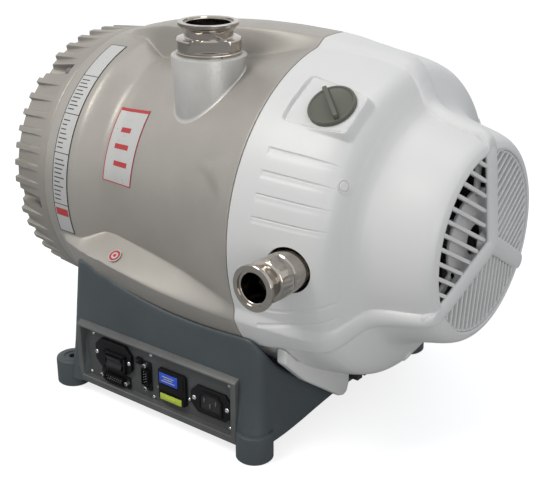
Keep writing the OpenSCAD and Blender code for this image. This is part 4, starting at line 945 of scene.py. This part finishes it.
# ---------------------------------------------------------------- air duct below the cowl
def duct():
    low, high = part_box("air_duct")
    outline = mm((-121, 96), (-90, 66), (-34, 25), (-26, 22), (-20, 24), (-17, 33), (-16, 54), (-60, 65.5),
                 (-103, 93), (-121, 111))
    bm = bmesh.new()
    rings = [[Vector((x, y, z)) for y, z in outline] for x in (low.x, high.x - 6 * MM)]
    skin(bm, rings, cap_start=True, cap_end=True)
    piece("duct_body", bm, "cowl", ("air_duct",), "root", 2.5 * MM, 4)


duct()


# ---------------------------------------------------------------- base
SKIRT_Z, WALL, DRAFT, CORNER = BASE[0].z + 13 * MM, 8 * MM, 12 * MM, 13 * MM
BASE_X0, BASE_X1, BASE_Y = -114 * MM, 133 * MM, 149 * MM
BASE_TOP = 140 * MM
FRAME_TOP = 80 * MM
RECESS_X0, RECESS_X1 = PANEL[0].x - 0.3 * MM, PANEL[1].x + 0.3 * MM
RECESS_Z0, RECESS_Z1 = PANEL[0].z - 0.3 * MM, PANEL[1].z + 0.3 * MM
FACE_Y = PANEL[0].y
FEET = [(x, y) for x in (-120 * MM, 120 * MM) for y in (-136 * MM, 136 * MM)]


def crest_radius(x):
    t = min(max((x - JOINT_X) / (SEAM_X - JOINT_X), 0), 1)
    return along(HOUSING_ROWS, t, 1) * CASING_R + along(HOUSING_ROWS, t, 2) * RIDGE_RISE


def saddle(x, y):
    """Height at which a base wall meets the body above it."""
    r = crest_radius(x) + 0.4 * MM
    return min(BASE_TOP, AXIS_Z - math.sqrt(max(r * r - y * y, 0.0)))


def rounded(x0, x1, y0, y1, r, steps=10):
    """Points of a rectangle with round corners, close enough together along its sides."""
    points = []
    for (cx, cy), start in zip(rectangle(x1 - r, x0 + r, y1 - r, y0 + r), (0, 90, 180, 270)):
        for i in range(steps + 1):
            a = math.radians(start + 90 * i / steps)
            points.append((cx + r * math.cos(a), cy + r * math.sin(a)))
    filled = []
    for (ax, ay), (bx, by) in zip(points, points[1:] + points[:1]):
        count = max(1, int(math.hypot(bx - ax, by - ay) / (4 * MM)))
        filled += [(ax + (bx - ax) * i / count, ay + (by - ay) * i / count) for i in range(count)]
    return filled


def skirt(x, y):
    """Lower edge of the walls: a shallow arch on the fan end."""
    if x > BASE_X1 - 2 * MM and abs(y) < 118 * MM:
        return SKIRT_Z + 8 * MM * smooth((118 * MM - abs(y)) / (110 * MM))
    return SKIRT_Z


BASE_MID_X = (BASE_X0 + BASE_X1) / 2


def drafted(p, z, extra=0.0):
    """A point of the plan drawn in at height z by the draft of the walls, and by a further amount."""
    s = (z - SKIRT_Z) / (BASE_TOP - SKIRT_Z)
    sx = 1 - (DRAFT / 2 * s + extra) / (BASE_X1 - BASE_MID_X)
    sy = 1 - (DRAFT * s + extra) / BASE_Y
    return Vector((BASE_MID_X + (p[0] - BASE_MID_X) * sx, p[1] * sy, z))


def base_walls():
    bm = bmesh.new()
    outer = rounded(BASE_X0, BASE_X1, -BASE_Y, BASE_Y, CORNER)
    first, last, edge = 0.03, 0.98, 1.6 * MM
    levels = [0, 0.012, first] + [first + 0.95 * i / 24 for i in range(1, 25)] + [0.988, 1.0]
    rings = []
    for v in levels:
        ring = []
        for p in outer:
            q = drafted(p, BASE_TOP)
            low, high = skirt(*p), saddle(q.x, q.y)
            pull = edge * (max(0.0, 1 - v / first) + max(0.0, (v - last) / (1 - last))) ** 2
            ring.append(drafted(p, low + (high - low) * v, pull))
        rings.append(ring)
    rings.append([drafted(p, saddle(*drafted(p, BASE_TOP, WALL).xy), WALL) for p in outer])
    rings.append([drafted(p, skirt(*p) + 0.1 * MM, WALL) for p in outer])
    rings.append(rings[0])
    skin(bm, rings)
    bmesh.ops.remove_doubles(bm, verts=bm.verts, dist=1e-6)
    walls = piece("base_walls", bm, "base", ("base_casting",))
    room = 1 * MM
    carve_box(walls, (RECESS_X0 - room, -BASE_Y - 9 * MM, RECESS_Z0 - room),
              (RECESS_X1 + room, -BASE_Y + 16 * MM, RECESS_Z1 + room))


def base_frame():
    """Frame round the connector panel, with a chamfered top ledge, in a lighter finish with bright edges:
    worn paint and a painted highlight.
    """
    bm = bmesh.new()
    x0, x1 = RECESS_X0 - 6 * MM, RECESS_X1 + 6 * MM
    ledge, lean = 7 * MM, 0.8 * MM
    back = rectangle(x0, x1, SKIRT_Z, FRAME_TOP)
    front = rectangle(x0, x1, SKIRT_Z, FRAME_TOP - ledge * 0.55)
    opening = rectangle(RECESS_X0, RECESS_X1, RECESS_Z0, RECESS_Z1)
    inside = rectangle(RECESS_X0 + lean, RECESS_X1 - lean, RECESS_Z0 + lean, RECESS_Z1 - lean)
    places = ((-BASE_Y + 18 * MM, back), (-BASE_Y + ledge, back), (-BASE_Y, front), (-BASE_Y, opening),
              (FACE_Y + 2 * MM, inside))
    skin(bm, [[Vector((x, y, z)) for x, z in outline] for y, outline in places])
    piece("base_frame", bm, "ledge", (), "root", 1.4 * MM, 3)


def base_lugs():
    bm = bmesh.new()
    profile = mm((4.5, 0), (16.3, 0), (17.5, 1.2), (17.5, 25.5), (17.1, 27), (15.6, 28), (9.5, 28),
                 (9.2, 27.4), (4.8, 27.4), (4.5, 27.1))
    for x, y in FEET:
        lathe(bm, profile, Matrix.Translation((x, y, 0)), 64, True)
    piece("base_lugs", bm, "base")


def base_pillars():
    """Round corners that carry the walls down to the lugs."""
    bm = bmesh.new()
    levels = [(SKIRT_Z, 15 * MM)] + mm((26, 15), (31, 14.2), (38, 13.5), (60, 13))
    for x, y in FEET:
        sx, sy = (1 if x > 0 else -1), (1 if y > 0 else -1)
        corner_x, corner_y = (BASE_X1 if x > 0 else BASE_X0) - sx * CORNER, sy * (BASE_Y - CORNER)
        rings = []
        for z, r in levels:
            s = (z - SKIRT_Z) / (BASE_TOP - SKIRT_Z)
            cx, cy = corner_x - sx * DRAFT / 2 * s, corner_y - sy * DRAFT * s
            rings.append([Vector((cx + r * math.cos(u), cy + r * math.sin(u), z)) for u in turns(48)])
        skin(bm, rings, cap_start=True)
    piece("base_pillars", bm, "base")


def base_ribs():
    """Cross ribs inside, cut out to a round below the body."""
    bm = bmesh.new()
    low, high, round_r, thick = 31 * MM, 118 * MM, 162.5 * MM, 14 * MM
    ys = [low + (high - low) * i / 12 for i in range(13)]
    for x in (-60 * MM, 60 * MM):
        place = Matrix.Translation((x, 0, 0)) @ Matrix.Rotation(math.pi / 2, 4, "Z")
        for side in (-1, 1):
            top = [(side * v, AXIS_Z - math.sqrt(round_r ** 2 - v * v)) for v in ys[::-1]]
            prism(bm, [(side * v, SKIRT_Z) for v in ys] + top, thick, place)
        prism(bm, rectangle(-low, low, SKIRT_Z, 42 * MM), thick, place)
    piece("base_ribs", bm, "base")


# ---------------------------------------------------------------- connector panel
# places of the panel's screws as shares of its width and height
SCREW_SHARES = (.06, .89), (.465, .89), (.97, .89), (.03, .06), (.475, .06), (.97, .06)
# node, turn on the panel in degrees, length and width of the flange, pins in the longer row
DATA_CONNECTORS = (("logic_connector", 0, 39.5 * MM, 12 * MM, 8),
                   ("serial_connector", 90, 31 * MM, 11 * MM, 5))
KEY_WELL = (11.2 * MM, 6.75 * MM)


def on_panel(x, z, out=0.0):
    """Frame on the panel face: x along the pump, y up, z out of the panel."""
    return Matrix.Translation((x, FACE_Y - out, z)) @ Matrix.Rotation(math.pi / 2, 4, "X")


def slab(bm, frame_m, w, h, z0, z1):
    box_between(bm, (-w / 2, -h / 2, z0), (w / 2, h / 2, z1), frame_m)


def cut_slab(bm, frame_m, w, h, cut, z0, z1):
    """Slab with its four corners cut off."""
    outline = [(-w / 2 + cut, -h / 2), (w / 2 - cut, -h / 2), (w / 2, -h / 2 + cut), (w / 2, h / 2 - cut),
               (w / 2 - cut, h / 2), (-w / 2 + cut, h / 2), (-w / 2, h / 2 - cut), (-w / 2, -h / 2 + cut)]
    rings = [[frame_m @ Vector((x, y, z)) for x, y in outline] for z in (z0, z1)]
    skin(bm, rings, cap_start=True, cap_end=True)


def screw(bm, frame_m, r=1.8 * MM, h=1.1 * MM):
    """Pan head with a round recess."""
    lathe(bm, [(r, 0), (r, h * 0.45), (r * 0.8, h * 0.9), (r * 0.42, h), (r * 0.4, h * 0.45), (0, h * 0.4)],
          frame_m, 24)


def centre_of(node):
    low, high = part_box(node)
    return (low.x + high.x) / 2, (low.z + high.z) / 2


def switch():
    bm = bmesh.new()
    cut_slab(bm, on_panel(*centre_of("switch_housing")), 49 * MM, 32 * MM, 8 * MM, 0, 4.2 * MM)
    plate = piece("switch_plate", bm, "black", ("switch_housing",), "root", 0.7 * MM, 3)
    # a well in the plate, with room for the key at both ends of its travel
    key = on_panel(*centre_of("power_rocker"))
    well_w, well_h = KEY_WELL
    carve_box(plate, (-well_w, -well_h, 1.2 * MM), (well_w, well_h, 9 * MM), key)
    bm = bmesh.new()
    for dx, dy, w, h in mm((-13, 0, 3, 19), (13, 0, 3, 19), (0, 8.2, 29, 2.8), (0, -8.2, 29, 2.8)):
        box_between(bm, (dx - w / 2, dy - h / 2, 4 * MM), (dx + w / 2, dy + h / 2, 6.9 * MM), key)
    piece("switch_bezel", bm, "black", (), "root", 0.5 * MM, 2)
    bm = bmesh.new()
    outline = mm((-6.1, 4.6), (-5.9, 9.1), (-3.6, 8.2), (0, 6.6), (3.6, 8.2), (5.9, 9.1), (6.1, 4.6))
    prism(bm, outline, 20.6 * MM, key @ Matrix.Rotation(math.pi / 2, 4, "Z"))
    piece("rocker_key", bm, "key", ("power_rocker",), "rocker", 0.5 * MM, 2)


def data_connectors():
    shells, pins = bmesh.new(), bmesh.new()
    for node, turn, length, width, count in DATA_CONNECTORS:
        place = on_panel(*centre_of(node)) @ Matrix.Rotation(math.radians(turn), 4, "Z")
        cut_slab(shells, place, length, width, 1.2 * MM, 0.1 * MM, 1.4 * MM)
        half_w, half_h = (length - 13 * MM) / 2, 4.3 * MM
        low_w = half_w - 2 * MM
        ring_out = [(-half_w, half_h), (half_w, half_h), (low_w, -half_h), (-low_w, -half_h)]
        ring_in = [(x * 0.93, y * 0.82) for x, y in ring_out]
        rings = [[place @ Vector((x, y, z)) for x, y in ring] for ring, z in
                 ((ring_out, 1.2 * MM), (ring_out, 5.8 * MM), (ring_in, 5.8 * MM), (ring_in, 2.2 * MM))]
        skin(shells, rings, cap_end=True)
        for row, in_row in ((1.3 * MM, count), (-1.3 * MM, count - 1)):
            for i in range(in_row):
                px = (i - (in_row - 1) / 2) * (length - 17 * MM) / count
                spot = place @ Matrix.Translation((px, row, 0))
                lathe(pins, mm((0.4, 2.0), (0.4, 5.0), (0, 5.2)), spot, 12)
        for side in (-1, 1):
            lathe(pins, mm((2.3, 1.2), (2.3, 5.2), (1.4, 5.6), (1.2, 3.0), (0, 3.0)),
                  place @ Matrix.Translation((side * (length / 2 - 3.1 * MM), 0, 0)), 6)
    replaced = ("logic_connector", "serial_connector")
    piece("data_shells", shells, "black", replaced, "root", 0.35 * MM, 2)
    piece("data_pins", pins, "steel", sharp=25)


def lamp():
    place = on_panel(*centre_of("status_lamp"))
    bm = bmesh.new()
    cut_slab(bm, place, 8 * MM, 6.4 * MM, 0.8 * MM, 0.1 * MM, 3.2 * MM)
    lathe(bm, mm((2.6, 3), (2.5, 4.4), (1.6, 5.4), (0, 5.8)), place, 32)
    piece("lamp_body", bm, "black", ("status_lamp",), "root", 0.4 * MM, 2)


def selector():
    x, z = centre_of("voltage_selector")
    place = on_panel(x, z)
    bm = bmesh.new()
    cut_slab(bm, place, 35 * MM, 33 * MM, 2 * MM, 0, 3.4 * MM)
    for low, high in (mm((-15, 1, 3), (15, 15, 4.2)), mm((-16, -15.6, 3), (16, -8, 4.6)),
                      mm((-14, -6.6, 3), (14, -0.4, 3.8))):
        box_between(bm, low, high, place)
    piece("selector_body", bm, "black", ("voltage_selector",), "root", 0.4 * MM, 2)
    glass_x, glass_z = x - 3 * MM, z + 7.5 * MM
    bm = bmesh.new()
    slab(bm, on_panel(glass_x, glass_z), 23 * MM, 11 * MM, 4 * MM, 5.0 * MM)
    piece("selector_glass", bm, "blue", ("selector_window",), "root", 0.6 * MM, 3)
    bm = bmesh.new()
    for w, row in mm((15, 2.4), (11, 0), (17, -2.4)):
        slab(bm, on_panel(glass_x, glass_z + row), w, 0.9 * MM, 4.9 * MM, 5.12 * MM)
    piece("selector_marks", bm, "foil")
    drawer = on_panel(x, z - 12 * MM)
    bm = bmesh.new()
    slab(bm, drawer, 27 * MM, 6.4 * MM, 4.2 * MM, 5.6 * MM)
    slab(bm, drawer, 12 * MM, 3 * MM, 5.4 * MM, 6.3 * MM)
    piece("drawer_front", bm, "yellow", ("fuse_drawer",), "root", 0.5 * MM, 2)


def mains():
    x, z = centre_of("mains_inlet")
    place = on_panel(x, z)
    flange = mm((-25, -6), (-17, -14), (17, -14), (25, -6), (25, 6), (17, 14), (-17, 14), (-25, 6))
    well = mm((-12, -8), (12, -8), (12, 4), (8, 8), (-8, 8), (-12, 4))
    collar = mm((-14.5, -10.5), (14.5, -10.5), (14.5, 5), (9.2, 10.5), (-9.2, 10.5), (-14.5, 5))

    def ring(points, height, grow=1.0):
        return [place @ Vector((px * grow, py * grow, height * MM)) for px, py in points]

    bm = bmesh.new()
    skin(bm, [ring(flange, 0), ring(flange, 2.4), ring(flange, 3.0, 0.97)], cap_end=True)
    skin(bm, [ring(collar, 2.8), ring(collar, 4.4), ring(well, 4.4), ring(well, 3.02)])
    piece("mains_flange", bm, "black", ("mains_inlet",), "root", 0.4 * MM, 2)
    bm = bmesh.new()
    skin(bm, [ring(well, 3.1), ring(well, 3.1, 0.02)], cap_end=True)
    piece("mains_well", bm, "dark")
    bm = bmesh.new()
    for px, py in mm((-7, 2), (0, -2.4), (7, 2)):
        slab(bm, on_panel(x + px, z + py), 1.8 * MM, 4.4 * MM, 3.0 * MM, 4.1 * MM)
    piece("mains_blades", bm, "iron", ("mains_pins",), "root", 0.2 * MM, 2)


def panel_screws():
    bm = bmesh.new()
    for u, v in SCREW_SHARES:
        screw(bm, on_panel(RECESS_X0 + (RECESS_X1 - RECESS_X0) * u, RECESS_Z0 + (RECESS_Z1 - RECESS_Z0) * v))
    piece("face_screws", bm, "steel", ("panel_screws",), sharp=25)
    bm = bmesh.new()
    sx, sz = centre_of("switch_housing")
    mx, mz = centre_of("mains_inlet")
    vx, vz = centre_of("voltage_selector")
    for side in (-1, 1):
        screw(bm, on_panel(sx + side * 22 * MM, sz, 4.2 * MM), 2.2 * MM)
        screw(bm, on_panel(mx + side * 20 * MM, mz, 2.9 * MM), 2.4 * MM)
        screw(bm, on_panel(vx + side * 19.6 * MM, vz - 7 * MM))
    piece("device_screws", bm, "steel", ("module_screws",), sharp=25)


# ---------------------------------------------------------------- labels, all generic
STRIP_X0, STRIP_X1, STRIP_A0, STRIP_A1 = -127.6 * MM, -106.6 * MM, 110.5, 197.0
# parting lines of the strip, and its rows of blocks: first and last angle, rows, longest block in mm
STRIP_LINES = (129.5, 147.0, 163.0, 184.0)
STRIP_ROWS = ((131, 146, 9, 15), (149, 162, 7, 12), (165, 183, 10, 14))
PLATE_X0, PLATE_X1, PLATE_A0, PLATE_A1 = -73.5 * MM, -33.5 * MM, 137.4, 170.8
FOIL_LIFT, MARK_LIFT = 0.40 * MM, 0.48 * MM
BADGE_R, BADGE_SIDE = 143 * MM, 27.6 * MM


def patch(bm, x0, x1, a0, a1, lift, lower=0.02 * MM):
    """Thin plate that follows the housing between two places and two angles."""
    nx = max(2, int(abs(x1 - x0) / (1.5 * MM)))
    na = max(2, int(abs(a1 - a0) / 1.0))
    low, high = [], []
    for grid, level in ((low, lower), (high, lift)):
        for i in range(nx + 1):
            x = x0 + (x1 - x0) * i / nx
            angles = [a0 + (a1 - a0) * j / na for j in range(na + 1)]
            grid.append([bm.verts.new(at(x, a, housing_radius(x, a) + level)) for a in angles])
    for i in range(nx):
        for j in range(na):
            bm.faces.new((high[i][j], high[i + 1][j], high[i + 1][j + 1], high[i][j + 1]))
            bm.faces.new((low[i][j], low[i][j + 1], low[i + 1][j + 1], low[i + 1][j]))
    border = ([(i, 0) for i in range(nx)] + [(nx, j) for j in range(na)]
              + [(i, na) for i in range(nx, 0, -1)] + [(0, j) for j in range(na, 0, -1)])
    for (i, j), (k, m) in zip(border, border[1:] + border[:1]):
        bm.faces.new((low[i][j], low[k][m], high[k][m], high[i][j]))


def data_strip():
    bm = bmesh.new()
    patch(bm, STRIP_X0, STRIP_X1, STRIP_A0, STRIP_A1, FOIL_LIFT)
    piece("strip_foil", bm, "foil", ("data_strip",))
    bm = bmesh.new()
    edge = 0.8 * MM
    turn = math.degrees(edge / (139.7 * MM))
    patch(bm, STRIP_X0, STRIP_X0 + edge, STRIP_A0, STRIP_A1, MARK_LIFT)
    patch(bm, STRIP_X1 - edge, STRIP_X1, STRIP_A0, STRIP_A1, MARK_LIFT)
    for a in (STRIP_A0, *STRIP_LINES, STRIP_A1 - turn):
        patch(bm, STRIP_X0, STRIP_X1, a, a + turn, MARK_LIFT)
    for a0, a1, rows, width in STRIP_ROWS:
        for k in range(rows):
            a = a0 + (a1 - a0) * (k + 0.5) / rows
            start = STRIP_X0 + 2.6 * MM
            length = width * MM * (0.55 + 0.45 * random.random())
            patch(bm, start, start + length, a - 0.22, a + 0.22, MARK_LIFT)
    piece("strip_marks", bm, "ink")
    bm = bmesh.new()
    patch(bm, STRIP_X0 + 2 * MM, STRIP_X1 - 2 * MM, 186.0, 189.2, MARK_LIFT)
    piece("strip_band", bm, "red")


def front_label():
    """Silver plate with a red border, a top band and three blocks."""
    x0, x1, a0, a1 = PLATE_X0, PLATE_X1, PLATE_A0, PLATE_A1
    bm = bmesh.new()
    patch(bm, x0, x1, a0, a1, FOIL_LIFT)
    piece("plate_foil", bm, "foil", ("front_label",))
    bm = bmesh.new()
    edge = 0.9 * MM
    turn = math.degrees(edge / (126 * MM))
    patch(bm, x0, x0 + edge, a0, a1, MARK_LIFT)
    patch(bm, x1 - edge, x1, a0, a1, MARK_LIFT)
    patch(bm, x0, x1, a1 - turn, a1, MARK_LIFT)
    patch(bm, x0, x1, a0, a0 + 1.5, MARK_LIFT)
    for k, (u0, u1) in enumerate(((0.28, 0.62), (0.22, 0.70), (0.30, 0.78))):
        a = a0 + 9 + 7.4 * k
        patch(bm, x0 + (x1 - x0) * u0, x0 + (x1 - x0) * u1, a, a + 2.2, MARK_LIFT)
    piece("plate_marks", bm, "red")


def badge():
    """Round badge on the upper wall of the near ridge."""
    low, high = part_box("round_badge")
    draft = math.radians(4)
    ridge = radial_frame((low.x + high.x) / 2, RIDGE_ANGLES[1], BADGE_R)
    place = ridge @ Matrix.Translation((0, BADGE_SIDE, 0)) @ Matrix.Rotation(draft - math.pi / 2, 4, "X")
    bm = bmesh.new()
    lathe(bm, mm((0, 0.3), (6.9, 0.3), (7, -0.3)), place, 64)
    piece("badge_disc", bm, "foil", ("round_badge",))
    bm = bmesh.new()
    lathe(bm, mm((3.7, 0.31), (3.7, 0.38), (6.0, 0.38), (6.0, 0.31)), place, 64)
    lathe(bm, mm((0, 0.38), (1.9, 0.38), (1.9, 0.31)), place, 48)
    piece("badge_ring", bm, "red")


base_walls()
base_frame()
base_lugs()
base_pillars()
base_ribs()
switch()
data_connectors()
lamp()
selector()
mains()
panel_screws()
data_strip()
front_label()
badge()
